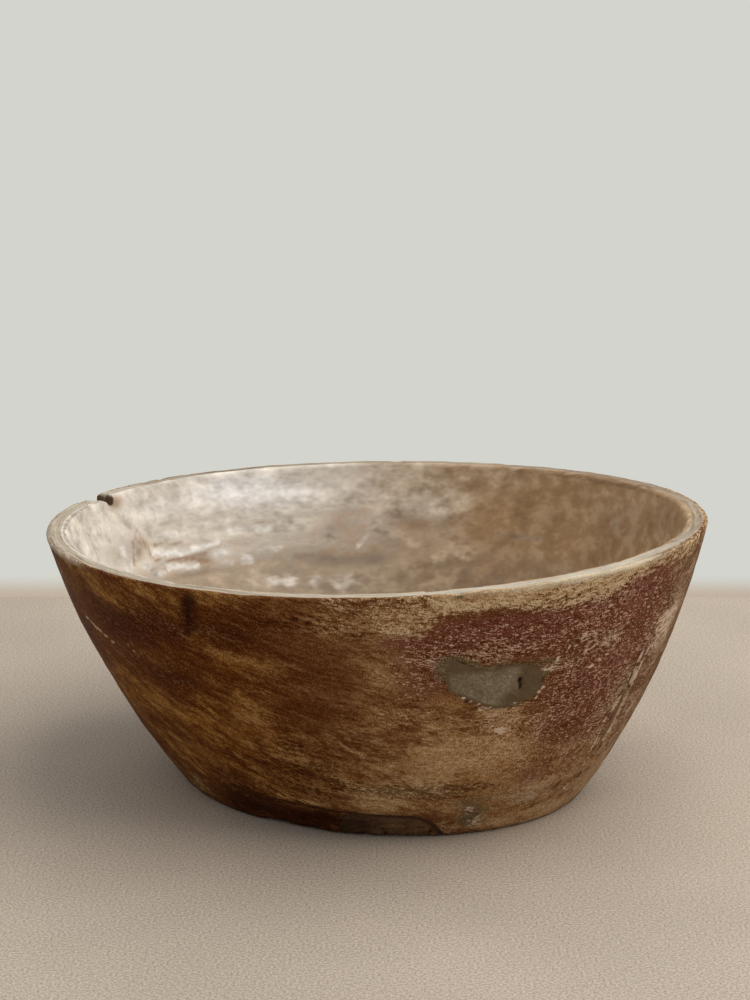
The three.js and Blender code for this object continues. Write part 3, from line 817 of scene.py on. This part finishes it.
shell = makeBowl()
print("bowl shell:", len(shell.data.polygons), "faces")
fills = {
    "wall_putty": makePutty("wallPutty", wallPutty),
    "crack_putty": makePutty("crackPutty", crackPutty),
    "foot_putty": makePutty("footPutty", footPutty),
}
print("fillings:", {node: len(piece.data.polygons) for node, piece in fills.items()})
for node, piece in [("bowl_body", shell), *fills.items()]:
    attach(piece, "root")
    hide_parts(node)


def srgb(r, g, b):
    # screen colour from 0 to 255, as the linear colour that a shader takes
    c = np.array([r, g, b]) / 255.0
    c = np.where(c <= 0.04045, c / 12.92, ((c + 0.055) / 1.055) ** 2.4)
    return (*c.tolist(), 1.0)


def addNode(tree, kind, values=None, **settings):
    # new node; a value that is a socket is linked, any other is typed in
    node = tree.nodes.new(kind)
    for name, setting in settings.items():
        setattr(node, name, setting)
    for name, value in (values or {}).items():
        if isinstance(value, bpy.types.NodeSocket):
            tree.links.new(value, node.inputs[name])
        else:
            node.inputs[name].default_value = value
    return node


def newMaterial(name):
    material = bpy.data.materials.new(name)
    material.use_nodes = True
    return material, material.node_tree, material.node_tree.nodes["Principled BSDF"]


def calc(tree, operation, a, b=0.0, clamp=False):
    return addNode(tree, "ShaderNodeMath", {0: a, 1: b}, operation=operation, use_clamp=clamp).outputs[0]


def times(tree, a, b, clamp=False):
    return calc(tree, "MULTIPLY", a, b, clamp)


def vectorCalc(tree, operation, a, b):
    return addNode(tree, "ShaderNodeVectorMath", {0: a, 1: b}, operation=operation).outputs[0]


def shaded(tree, vector, factor):
    # colour or vector times a factor
    return addNode(tree, "ShaderNodeVectorMath", {0: vector, "Scale": factor}, operation="SCALE").outputs[0]


def weighted(tree, parts, shift=0.0):
    # sum of value times weight, plus a shift
    total = shift
    for value, weight in parts:
        node = addNode(tree, "ShaderNodeMath", {0: value, 1: weight, 2: total}, operation="MULTIPLY_ADD")
        total = node.outputs[0]
    return total


def between(tree, value, low, high, bottom=0.0, top=1.0):
    # eased step of a value from low to high
    values = {0: value, 1: low, 2: high, 3: bottom, 4: top}
    return addNode(tree, "ShaderNodeMapRange", values, interpolation_type="SMOOTHSTEP").outputs[0]


def mixColour(tree, share, a, b):
    return addNode(tree, "ShaderNodeMix", {0: share, 6: a, 7: b}, data_type="RGBA").outputs[2]


def mixValue(tree, share, a, b):
    return addNode(tree, "ShaderNodeMix", {0: share, 2: a, 3: b}, data_type="FLOAT").outputs[0]


def noiseAt(tree, place, scale, detail=2.0, rough=0.5, twist=0.0):
    values = {"Vector": place, "Scale": scale, "Detail": detail, "Roughness": rough, "Distortion": twist}
    return addNode(tree, "ShaderNodeTexNoise", values)


def unitSpread(tree, value, spread):
    # a noise about 0.5, moved to zero and scaled to a spread of one
    return calc(tree, "DIVIDE", calc(tree, "SUBTRACT", value, 0.5), spread)


def addBump(tree, shader, height, strength):
    bump = addNode(tree, "ShaderNodeBump", {"Strength": strength, "Distance": 0.001, "Height": height})
    tree.links.new(bump.outputs[0], shader.inputs["Normal"])


def newGroup(name, takes, gives):
    # node group with named sockets; takes and gives map each name to its kind
    group = bpy.data.node_groups.new(name, "ShaderNodeTree")
    for way, sockets in (("INPUT", takes), ("OUTPUT", gives)):
        for label, kind in sockets.items():
            group.interface.new_socket(name=label, in_out=way, socket_type="NodeSocket" + kind)
    return group, group.nodes.new("NodeGroupInput").outputs, group.nodes.new("NodeGroupOutput").inputs


def useGroup(tree, group, values):
    return addNode(tree, "ShaderNodeGroup", values, node_tree=group).outputs


def makeFibreGroup():
    # fibres, long across Z, with a slow wander; thickness is the widest pitch in metres
    takes = {"Place": "Vector", "Thickness": "Float", "Run": "Float", "Wander": "Float"}
    group, given, result = newGroup("woodFibre", takes, {"Streak": "Float", "Fine": "Float"})
    swing = noiseAt(group, given["Place"], 24.0, 2.0).outputs["Color"]
    swing = vectorCalc(group, "SUBTRACT", swing, (0.5, 0.5, 0.5))
    moved = vectorCalc(group, "ADD", given["Place"], shaded(group, swing, given["Wander"]))
    ratio = addNode(group, "ShaderNodeCombineXYZ", {0: given["Run"], 1: given["Run"], 2: 1.0}).outputs[0]
    long = vectorCalc(group, "MULTIPLY", moved, ratio)
    short = vectorCalc(group, "MULTIPLY", long, (2.8, 2.8, 1.0))
    scale = calc(group, "DIVIDE", 1.0, given["Thickness"])
    streak = noiseAt(group, long, scale, 4.0, 1.0).outputs[0]
    fine = noiseAt(group, short, times(group, scale, 4.6), 1.0, 0.6).outputs[0]
    group.links.new(unitSpread(group, streak, 0.052), result["Streak"])
    group.links.new(unitSpread(group, fine, 0.089), result["Fine"])
    return group


def makeEdgeGroup():
    # a soft mask bitten by grain: eased step of mask plus bite times grain, with none where it is empty
    takes = {"Mask": "Float", "Grain": "Float", "Bite": "Float", "Softness": "Float"}
    group, given, result = newGroup("raggedEdge", takes, {"Mask": "Float"})
    there = times(group, given["Mask"], 4.0, clamp=True)
    bitten = weighted(group, [(given["Grain"], times(group, given["Bite"], there))], given["Mask"])
    low = calc(group, "SUBTRACT", 0.5, given["Softness"])
    high = calc(group, "ADD", 0.5, given["Softness"])
    group.links.new(between(group, bitten, low, high), result["Mask"])
    return group


woodFibre = makeFibreGroup()
raggedEdge = makeEdgeGroup()


def fibresAt(tree, place, finish):
    values = {"Place": place, "Thickness": finish["fibrePitch"], "Run": finish["fibreRun"],
              "Wander": finish["fibreWander"]}
    fibre = useGroup(tree, woodFibre, values)
    return fibre["Streak"], fibre["Fine"]


def ragged(tree, mask, grain, bite, softness):
    values = {"Mask": mask, "Grain": grain, "Bite": bite, "Softness": softness}
    return useGroup(tree, raggedEdge, values)["Mask"]


def layerOf(tree, name):
    # the four masks of a layer
    node = addNode(tree, "ShaderNodeAttribute", attribute_name=name)
    split = addNode(tree, "ShaderNodeSeparateColor", {"Color": node.outputs["Color"]}).outputs
    return split[0], split[1], split[2], node.outputs["Alpha"]


# screen colours of the wood's finishes
woodColours = {
    "patina": (110, 70, 39), "umber": (74, 33, 12), "bare": (148, 109, 68), "gold": (174, 138, 96),
    "red": (105, 58, 42), "band": (178, 146, 106), "dustAndSheen": (152, 125, 94), "dash": (204, 168, 141),
    "dry": (122, 95, 58), "grimeAndShade": (33, 7, 4), "broken": (84, 62, 46), "smear": (104, 86, 60),
    "scuff": (212, 188, 165), "rim": (192, 180, 160), "rimAged": (150, 128, 102), "arris": (208, 190, 160),
    "line": (112, 84, 64), "insideWood": (173, 141, 104), "bloom": (197, 174, 142), "wash": (216, 206, 191),
    "lowWood": (163, 141, 116), "stain": (148, 112, 80), "ridgeAndHighlight": (232, 227, 219),
    "tanRidge": (208, 188, 160), "paintedGleam": (250, 248, 245), "greyAndShade": (132, 116, 102),
}

# how far each finish covers what lies under it
woodCover = {
    "dry": 0.22, "dash": 0.85, "fleck": 0.5, "scuff": 0.86, "grimeAndShade": 0.85, "rimAged": 0.7, "arris": 0.8,
    "line": 0.8, "low": 0.8, "stain": 0.75, "greyAndShade": 0.75, "ridgeAndHighlight": 0.85, "paintedGleam": 0.7, "glossAndPaintedGleam": 0.5,
}

# pitch and wander of the fibres in metres, their run as a share, their slant as rise along x and y, what
# the painted shade at the left leaves of red, green and blue, and the shine
woodFinish = {
    "fibrePitch": 0.0070, "fibreRun": 0.16, "fibreWander": 0.014, "slant": (0.21, -0.364, 0.0),
    "shadeTint": (0.78, 0.59, 0.265), "dullOutside": (0.50, 0.74), "dullInside": (0.45, 0.65),
    "coatRoughness": 0.3, "specular": 0.05, "specularTint": (1.0, 0.8, 0.6, 1.0), "bump": 0.35,
}

# noises of the wood: how x, y and z are scaled, waves per metre, octaves, roughness, twist and spread
woodNoise = {
    "blot": ((0.5, 0.5, 1.0), 38.0, 4.0, 0.9, 0.0, 0.054),
    "hair": ((0.26, 0.26, 1.0), 1200.0, 1.0, 0.6, 0.6, 0.089),
    "along": ((0.05, 0.05, 1.0), 620.0, 2.0, 0.7, 0.0, 0.085),
    "runs": ((1.0, 1.0, 0.3), 95.0, 1.0, 0.5, 0.0, 0.09),
    "patch": ((0.5, 0.7, 0.85), 110.0, 2.0, 0.68, 0.0, 0.065),
    "dust": ((1.0, 1.0, 1.0), 1250.0, 0.0, 0.5, 0.0, 0.117),
}

# coats over the patina, from the lowest: the grain that bites the edge, how deep, and how soft the edge is
woodCoats = [
    ("umber", "cover", 0.13, 0.5), ("bare", "cover", 0.17, 0.5), ("gold", "cover", 0.17, 0.5),
    ("red", "flaked", 0.2, 0.4), ("dustAndSheen", "flaked", 0.2, 0.45), ("band", "flaked", 0.19, 0.38),
]


def unitNoise(tree, place, name):
    across, scale, detail, rough, twist, spread = woodNoise[name]
    scaled = vectorCalc(tree, "MULTIPLY", place, across)
    return unitSpread(tree, noiseAt(tree, scaled, scale, detail, rough, twist).outputs[0], spread)


def namedSum(tree, values, shift=0.0, **weights):
    # shift plus each named value times its weight
    return weighted(tree, [(values[name], weight) for name, weight in weights.items()], shift)


def woodGrain(tree):
    # the noises that the finishes share, each about zero with a spread of about one
    place = addNode(tree, "ShaderNodeTexCoord").outputs["Object"]
    drum = addNode(tree, "ShaderNodeAttribute", attribute_name="drum").outputs["Vector"]
    # the fibres lie at a slant in the blank: the height grows by a share of x and y
    slant = addNode(tree, "ShaderNodeVectorMath", {0: drum, 1: woodFinish["slant"]}, operation="DOT_PRODUCT")
    rise = addNode(tree, "ShaderNodeCombineXYZ", {2: slant.outputs["Value"]}).outputs[0]
    tilted = vectorCalc(tree, "ADD", drum, rise)
    streak, fine = fibresAt(tree, tilted, woodFinish)
    grain = {"streak": streak, "fine": fine}
    for at, names in ((tilted, ("blot", "hair")), (drum, ("along", "runs")), (place, ("patch", "dust"))):
        grain.update({name: unitNoise(tree, at, name) for name in names})
    grain["cover"] = namedSum(tree, grain, streak=0.3, blot=0.9)
    grain["flaked"] = namedSum(tree, grain, streak=0.4, blot=0.6, fine=0.6, dust=0.4)
    grain["wear"] = namedSum(tree, grain, runs=0.2, patch=1.0)
    return grain


def grainTint(tree, masks, grain):
    # e to the power of the summed fibres, stronger in blue and weaker in red: dark fibres are warmer
    coarse = times(tree, grain["streak"], namedSum(tree, masks, 0.22, oiled=0.04, bare=-0.16))
    blots = times(tree, grain["blot"], namedSum(tree, masks, 0.06, oiled=0.12))
    coarse = calc(tree, "ADD", coarse, blots)
    small = namedSum(tree, grain, fine=0.6, dust=1.25)
    small = times(tree, small, namedSum(tree, masks, 0.20, dash=0.18, oiled=0.03, umber=0.14))
    most = namedSum(tree, masks, 0.5, oiled=0.35)
    depth = calc(tree, "MINIMUM", calc(tree, "ADD", coarse, small), most)
    shares = (0.64, 1.0, namedSum(tree, masks, 1.4, oiled=0.2))
    tint = {k: calc(tree, "EXPONENT", times(tree, depth, share)) for k, share in enumerate(shares)}
    return addNode(tree, "ShaderNodeCombineXYZ", tint).outputs[0]


def outsideTone(tree, tones, masks, grain):
    # patina under dark stains and painted shade, bare and golden wood, red paint, dust and painted sheen,
    # and the bare band, each with a worn edge
    tone = tones["patina"]
    for name, worn, bite, softness in woodCoats:
        tone = mixColour(tree, ragged(tree, masks[name], grain[worn], bite, softness), tone, tones[name])
    # painted shade on the side away from the lamp: its colour darker and warmer
    oil = times(tree, masks["oiled"], namedSum(tree, masks, 1.0, band=-0.35))
    tone = mixColour(tree, oil, tone, vectorCalc(tree, "MULTIPLY", tone, woodFinish["shadeTint"]))
    # dry fibres that stand out on the side with painted shade
    dry = between(tree, namedSum(tree, grain, streak=0.7, fine=0.5, dust=0.4), 0.3, 2.4)
    dry = times(tree, dry, times(tree, masks["oiled"], woodCover["dry"]))
    tone = mixColour(tree, dry, tone, tones["dry"])
    tint = grainTint(tree, masks, grain)
    tone = vectorCalc(tree, "MULTIPLY", tone, tint)
    # pale dashes where the paint is rubbed: the fine grain over a limit that falls as the mask grows
    dashes = namedSum(tree, masks, -2.1, dash=2.0)
    dashes = namedSum(tree, grain, dashes, hair=0.82, fine=0.26, blot=0.19, dust=0.42)
    dashes = between(tree, dashes, 0.0, 0.95)
    dashes = times(tree, dashes, times(tree, masks["dash"], 3.0, clamp=True))
    tone = mixColour(tree, times(tree, dashes, woodCover["dash"]), tone, tones["dash"])
    # dark flecks, smeared putty, pale scuffs, and dirt with painted shade and shadow
    flecks = ragged(tree, masks["fleck"], namedSum(tree, grain, fine=-0.7, streak=-0.5), 0.26, 0.25)
    tone = shaded(tree, tone, weighted(tree, [(flecks, -woodCover["fleck"])], 1.0))
    smeared = vectorCalc(tree, "MULTIPLY", tones["smear"][:3], tint)
    tone = mixColour(tree, ragged(tree, masks["smear"], grain["cover"], 0.14, 0.3), tone, smeared)
    rubbed = ragged(tree, masks["scuff"], namedSum(tree, grain, fine=0.6, streak=0.6), 0.3, 0.35)
    tone = mixColour(tree, times(tree, rubbed, woodCover["scuff"]), tone, tones["scuff"])
    # dirt, with painted shade and shadow at the ledge and low at the left of the foot
    darkened = ragged(tree, masks["grimeAndShade"], grain["cover"], 0.14, 0.4)
    return mixColour(tree, times(tree, darkened, woodCover["grimeAndShade"]), tone, tones["grimeAndShade"])


def rimTone(tree, tones, masks, grain):
    # weathered pale wood with lines along the rim, paler along its outer edge at the front right
    aged = times(tree, masks["aged"], woodCover["rimAged"])
    tone = mixColour(tree, aged, tones["rim"], tones["rimAged"])
    bright = ragged(tree, masks["arris"], grain["streak"], 0.2, 0.4)
    tone = mixColour(tree, times(tree, bright, woodCover["arris"]), tone, tones["arris"])
    lined = times(tree, grain["along"], namedSum(tree, masks, 0.06, aged=0.08))
    lined = calc(tree, "ADD", lined, 1.0)
    tone = shaded(tree, tone, namedSum(tree, grain, lined, blot=0.05, dust=0.06))
    cracks = between(tree, namedSum(tree, grain, along=-1.0, blot=0.5), 0.9, 2.3)
    cracks = times(tree, cracks, namedSum(tree, masks, 0.25, aged=0.6))
    return mixColour(tree, cracks, tone, tones["line"])


def insideTone(tree, tones, masks, grain):
    # worn wash over tan wood, greyer low down, faintly streaked down the wall
    wash, wear = masks["wash"], grain["wear"]
    tone = mixColour(tree, ragged(tree, wash, wear, 0.06, 0.5), tones["insideWood"], tones["wash"])
    # pale ridges, whiter where the wash is thick, partly painted highlight
    paleAndHighlightTone = mixColour(tree, between(tree, wash, 0.45, 1.0), tones["tanRidge"], tones["ridgeAndHighlight"])
    # stains, grey marks with a band of painted shade under the inner edge, and pale ridges with painted
    # highlights
    over = {"low": tones["lowWood"], "stain": tones["stain"], "greyAndShade": tones["greyAndShade"], "ridgeAndHighlight": paleAndHighlightTone}
    for name, colour in over.items():
        there = ragged(tree, masks[name], wear, 0.13, 0.5)
        tone = mixColour(tree, times(tree, there, woodCover[name]), tone, colour)
    # painted highlight: near-white colour over the gloss patches
    tone = mixColour(tree, times(tree, masks["glossAndPaintedGleam"], woodCover["paintedGleam"]), tone, tones["paintedGleam"])
    # pale bloom on the tan side
    bloom = times(tree, between(tree, wear, -0.7, 1.9), namedSum(tree, masks, 0.34, wash=-0.34), clamp=True)
    tone = mixColour(tree, bloom, tone, tones["bloom"])
    worn = times(tree, wear, namedSum(tree, masks, 0.065, wash=0.022))
    deep = calc(tree, "SUBTRACT", masks["low"], 1.0, clamp=True)
    rings = times(tree, deep, namedSum(tree, grain, along=0.05, fine=0.045, dust=0.05))
    uneven = [(worn, 1.0), (grain["blot"], 0.035), (grain["dust"], 0.012), (rings, 1.0)]
    return shaded(tree, tone, weighted(tree, uneven, 1.0))


def makeWood():
    material, tree, shader = newMaterial("rootWood")
    tones = {name: srgb(*value) for name, value in woodColours.items()}
    masks = {}
    for layer, names in shellLayers.items():
        masks.update(zip(names, layerOf(tree, layer)))
    grain = woodGrain(tree)
    streak = grain["streak"]
    colour = rimTone(tree, tones, masks, grain)
    for side, toneOf in (("inside", insideTone), ("outside", outsideTone)):
        there = ragged(tree, masks[side], streak, 0.06, 0.25)
        colour = mixColour(tree, there, colour, toneOf(tree, tones, masks, grain))
    line = ragged(tree, masks["edgeLine"], streak, 0.1, 0.4)
    colour = mixColour(tree, times(tree, line, woodCover["line"]), colour, tones["line"])
    # broken wood, darkened as painted shade, in the gap of the rim
    broken = ragged(tree, masks["broken"], grain["cover"], 0.1, 0.3)
    colour = mixColour(tree, broken, colour, tones["broken"])
    tree.links.new(colour, shader.inputs["Base Color"])
    dullOutside = between(tree, streak, -2.0, 2.0, *woodFinish["dullOutside"])
    dullInside = between(tree, grain["wear"], -2.0, 2.0, *woodFinish["dullInside"])
    tree.links.new(mixValue(tree, masks["inside"], dullOutside, dullInside), shader.inputs["Roughness"])
    tree.links.new(times(tree, masks["glossAndPaintedGleam"], woodCover["glossAndPaintedGleam"]), shader.inputs["Coat Weight"])
    shader.inputs["Coat Roughness"].default_value = woodFinish["coatRoughness"]
    shader.inputs["Specular IOR Level"].default_value = woodFinish["specular"]
    shader.inputs["Specular Tint"].default_value = woodFinish["specularTint"]
    height = namedSum(tree, grain, streak=0.09, blot=0.05, fine=0.03)
    height = times(tree, height, namedSum(tree, masks, 1.0, inside=-0.7))
    addBump(tree, shader, height, woodFinish["bump"])
    return material


# two tones of each filling, the tone of its edge, sizes of its blotches and fibres in metres, how far
# edge, stain and grit cover it, and its shine
puttyFinish = {
    "wall": [(114, 100, 78), (134, 120, 98)], "wallEdge": (93, 73, 47),
    "crack": [(104, 76, 53), (128, 98, 72)], "crackEdge": (206, 182, 156),
    "foot": [(80, 55, 35), (118, 88, 60)], "footEdge": (50, 29, 16),
    "pit": (30, 20, 12), "grit": (190, 176, 150),
    "blotch": 0.012, "fibrePitch": 0.0022, "fibreRun": 0.6, "fibreWander": 0.004,
    "edgeCover": 0.75, "stainCover": 0.8, "gritCover": 0.1, "dull": (0.62, 0.82),
    "specular": 0.12, "bump": 0.3,
}


def makePuttyMaterial(name, kind):
    finish = puttyFinish
    material, tree, shader = newMaterial(name)
    place = addNode(tree, "ShaderNodeTexCoord").outputs["Object"]
    rim, pit, lump, stained = layerOf(tree, "putty")
    streak, fine = fibresAt(tree, place, finish)
    blotch = between(tree, noiseAt(tree, place, 1 / finish["blotch"], 4.0, 0.6).outputs[0], 0.36, 0.64)
    tone = mixColour(tree, mixValue(tree, 0.35, blotch, lump), *[srgb(*c) for c in finish[kind]])
    # fine dust and fibres, with a few pale grains
    dust = unitSpread(tree, noiseAt(tree, place, 900.0, 0.0).outputs[0], 0.117)
    speckle = weighted(tree, [(dust, 0.13), (fine, 0.10), (streak, 0.06)])
    tone = shaded(tree, tone, calc(tree, "EXPONENT", speckle))
    grit = between(tree, weighted(tree, [(fine, 0.8), (dust, 0.6)]), 1.5, 2.6)
    tone = mixColour(tree, times(tree, grit, finish["gritCover"]), tone, srgb(*finish["grit"]))
    # stained edge, and painted shade in the pits
    edge = ragged(tree, rim, weighted(tree, [(streak, 0.6), (fine, 0.7)]), 0.16, 0.3)
    edge = times(tree, edge, finish["edgeCover"])
    edge = calc(tree, "MAXIMUM", edge, times(tree, stained, finish["stainCover"]))
    tone = mixColour(tree, edge, tone, srgb(*finish[kind + "Edge"]))
    tone = mixColour(tree, ragged(tree, pit, streak, 0.06, 0.25), tone, srgb(*finish["pit"]))
    tree.links.new(tone, shader.inputs["Base Color"])
    tree.links.new(between(tree, streak, -2.0, 2.0, *finish["dull"]), shader.inputs["Roughness"])
    shader.inputs["Specular IOR Level"].default_value = finish["specular"]
    addBump(tree, shader, weighted(tree, [(fine, 0.05), (streak, 0.05)]), finish["bump"])
    return material


shell.data.materials.append(makeWood())
for node, piece in fills.items():
    kind = node.split("_")[0]
    piece.data.materials.append(makePuttyMaterial(kind + "Putty", kind))
print("finishes:", [paint.name for paint in bpy.data.materials])

# screen colours of the stage, places and sizes in metres, lamp in watts
stage = {
    "floor": (184, 169, 151), "haze": (193, 177, 159), "wall": (211, 212, 205), "wallPlace": 0.487,
    "wallHeight": 4, "hazeHeight": 0.022, "reach": 6.0, "sandScale": 620.0, "sandRange": (0.74, 1.26),
    "driftScale": 6.0, "driftRange": (0.95, 1.05), "floorRoughness": 0.8,
    "lampPlace": (1.28, -0.05, 2.2), "lampAim": (0, 0, 0.1), "lampSize": 3.3, "lampPower": 60.5,
    "lampColour": (1.0, 0.985, 0.96), "roomLight": 0.59, "roomColour": (0.95, 0.97, 1.0, 1),
}


def plane(name, corners):
    mesh = bpy.data.meshes.new(name)
    mesh.from_pydata(corners, [], [(0, 1, 2, 3)])
    piece = bpy.data.objects.new(name, mesh)
    bpy.context.scene.collection.objects.link(piece)
    return mesh


def seenDirectly(tree):
    # 1 for rays from the camera, a glossy surface or through glass
    path = addNode(tree, "ShaderNodeLightPath").outputs
    return calc(tree, "ADD", calc(tree, "ADD", path["Is Camera Ray"], path["Is Glossy Ray"]),
                path["Is Transmission Ray"], clamp=True)


def makeFloor():
    far = stage["reach"]
    floor = plane("floor", [(-far, -far, 0), (far, -far, 0), (far, far, 0), (-far, far, 0)])
    paint, tree, shader = newMaterial("floorPaint")
    place = addNode(tree, "ShaderNodeTexCoord").outputs["Object"]
    sand = noiseAt(tree, place, stage["sandScale"], 1.0, 0.8).outputs[0]
    sand = between(tree, sand, 0.30, 0.70, *stage["sandRange"])
    drift = noiseAt(tree, place, stage["driftScale"], 3.0, 0.5).outputs[0]
    drift = between(tree, drift, 0.30, 0.70, *stage["driftRange"])
    tint = shaded(tree, srgb(*stage["floor"])[:3], times(tree, sand, drift))
    tree.links.new(tint, shader.inputs["Base Color"])
    shader.inputs["Roughness"].default_value = stage["floorRoughness"]
    floor.materials.append(paint)


def makeBackdrop():
    # glows in its own colour when seen from the front, and is clear from behind and to other rays
    far, at, top = stage["reach"], stage["wallPlace"], stage["wallHeight"]
    wall = plane("backdrop", [(-far, at, 0), (far, at, 0), (far, at, top), (-far, at, top)])
    paint = bpy.data.materials.new("backdropPaint")
    paint.use_nodes = True
    tree = paint.node_tree
    tree.nodes.clear()
    place = addNode(tree, "ShaderNodeTexCoord").outputs["Object"]
    level = addNode(tree, "ShaderNodeSeparateXYZ", {0: place}).outputs[2]
    rise = between(tree, level, 0.0, stage["hazeHeight"])
    pale = mixColour(tree, rise, srgb(*stage["haze"]), srgb(*stage["wall"]))
    glow = addNode(tree, "ShaderNodeEmission", {"Color": pale})
    clear = addNode(tree, "ShaderNodeBsdfTransparent")
    behind = addNode(tree, "ShaderNodeNewGeometry").outputs["Backfacing"]
    seen = calc(tree, "SUBTRACT", seenDirectly(tree), behind, clamp=True)
    mixed = addNode(tree, "ShaderNodeMixShader", {0: seen, 1: clear.outputs[0], 2: glow.outputs[0]})
    addNode(tree, "ShaderNodeOutputMaterial", {"Surface": mixed.outputs[0]})
    wall.materials.append(paint)


def makeLight():
    # soft light from all round, with one large window to the right and above
    world = bpy.data.worlds.new("studio")
    bpy.context.scene.world = world
    world.use_nodes = True
    tree = world.node_tree
    room = tree.nodes["Background"]
    room.inputs["Color"].default_value = stage["roomColour"]
    room.inputs["Strength"].default_value = stage["roomLight"]
    pale = addNode(tree, "ShaderNodeBackground", {"Color": srgb(*stage["wall"]), "Strength": 1.0})
    seen = seenDirectly(tree)
    mixed = addNode(tree, "ShaderNodeMixShader", {0: seen, 1: room.outputs[0], 2: pale.outputs[0]})
    tree.links.new(mixed.outputs[0], tree.nodes["World Output"].inputs["Surface"])
    data = bpy.data.lights.new("windowLight", "AREA")
    data.shape = "SQUARE"
    data.size = stage["lampSize"]
    data.energy = stage["lampPower"]
    data.color = stage["lampColour"]
    lamp = bpy.data.objects.new("windowLight", data)
    lamp.location = stage["lampPlace"]
    lamp.rotation_euler = (Vector(stage["lampAim"]) - lamp.location).to_track_quat("-Z", "Y").to_euler()
    bpy.context.scene.collection.objects.link(lamp)


def makeCamera():
    data = bpy.data.cameras.new("photoCamera")
    data.sensor_width = photoView["sensor"]
    data.lens = photoView["focalPixels"] * photoView["sensor"] / photoView["pixels"]
    camera = bpy.data.objects.new("photoCamera", data)
    camera.location = photoView["place"]
    camera.rotation_euler = (math.pi / 2 - photoView["pitch"], 0, photoView["turn"])
    bpy.context.scene.collection.objects.link(camera)
    bpy.context.scene.camera = camera


makeFloor()
makeBackdrop()
makeLight()
makeCamera()
bpy.context.scene.view_settings.view_transform = "Standard"
print("stage, light and camera set")
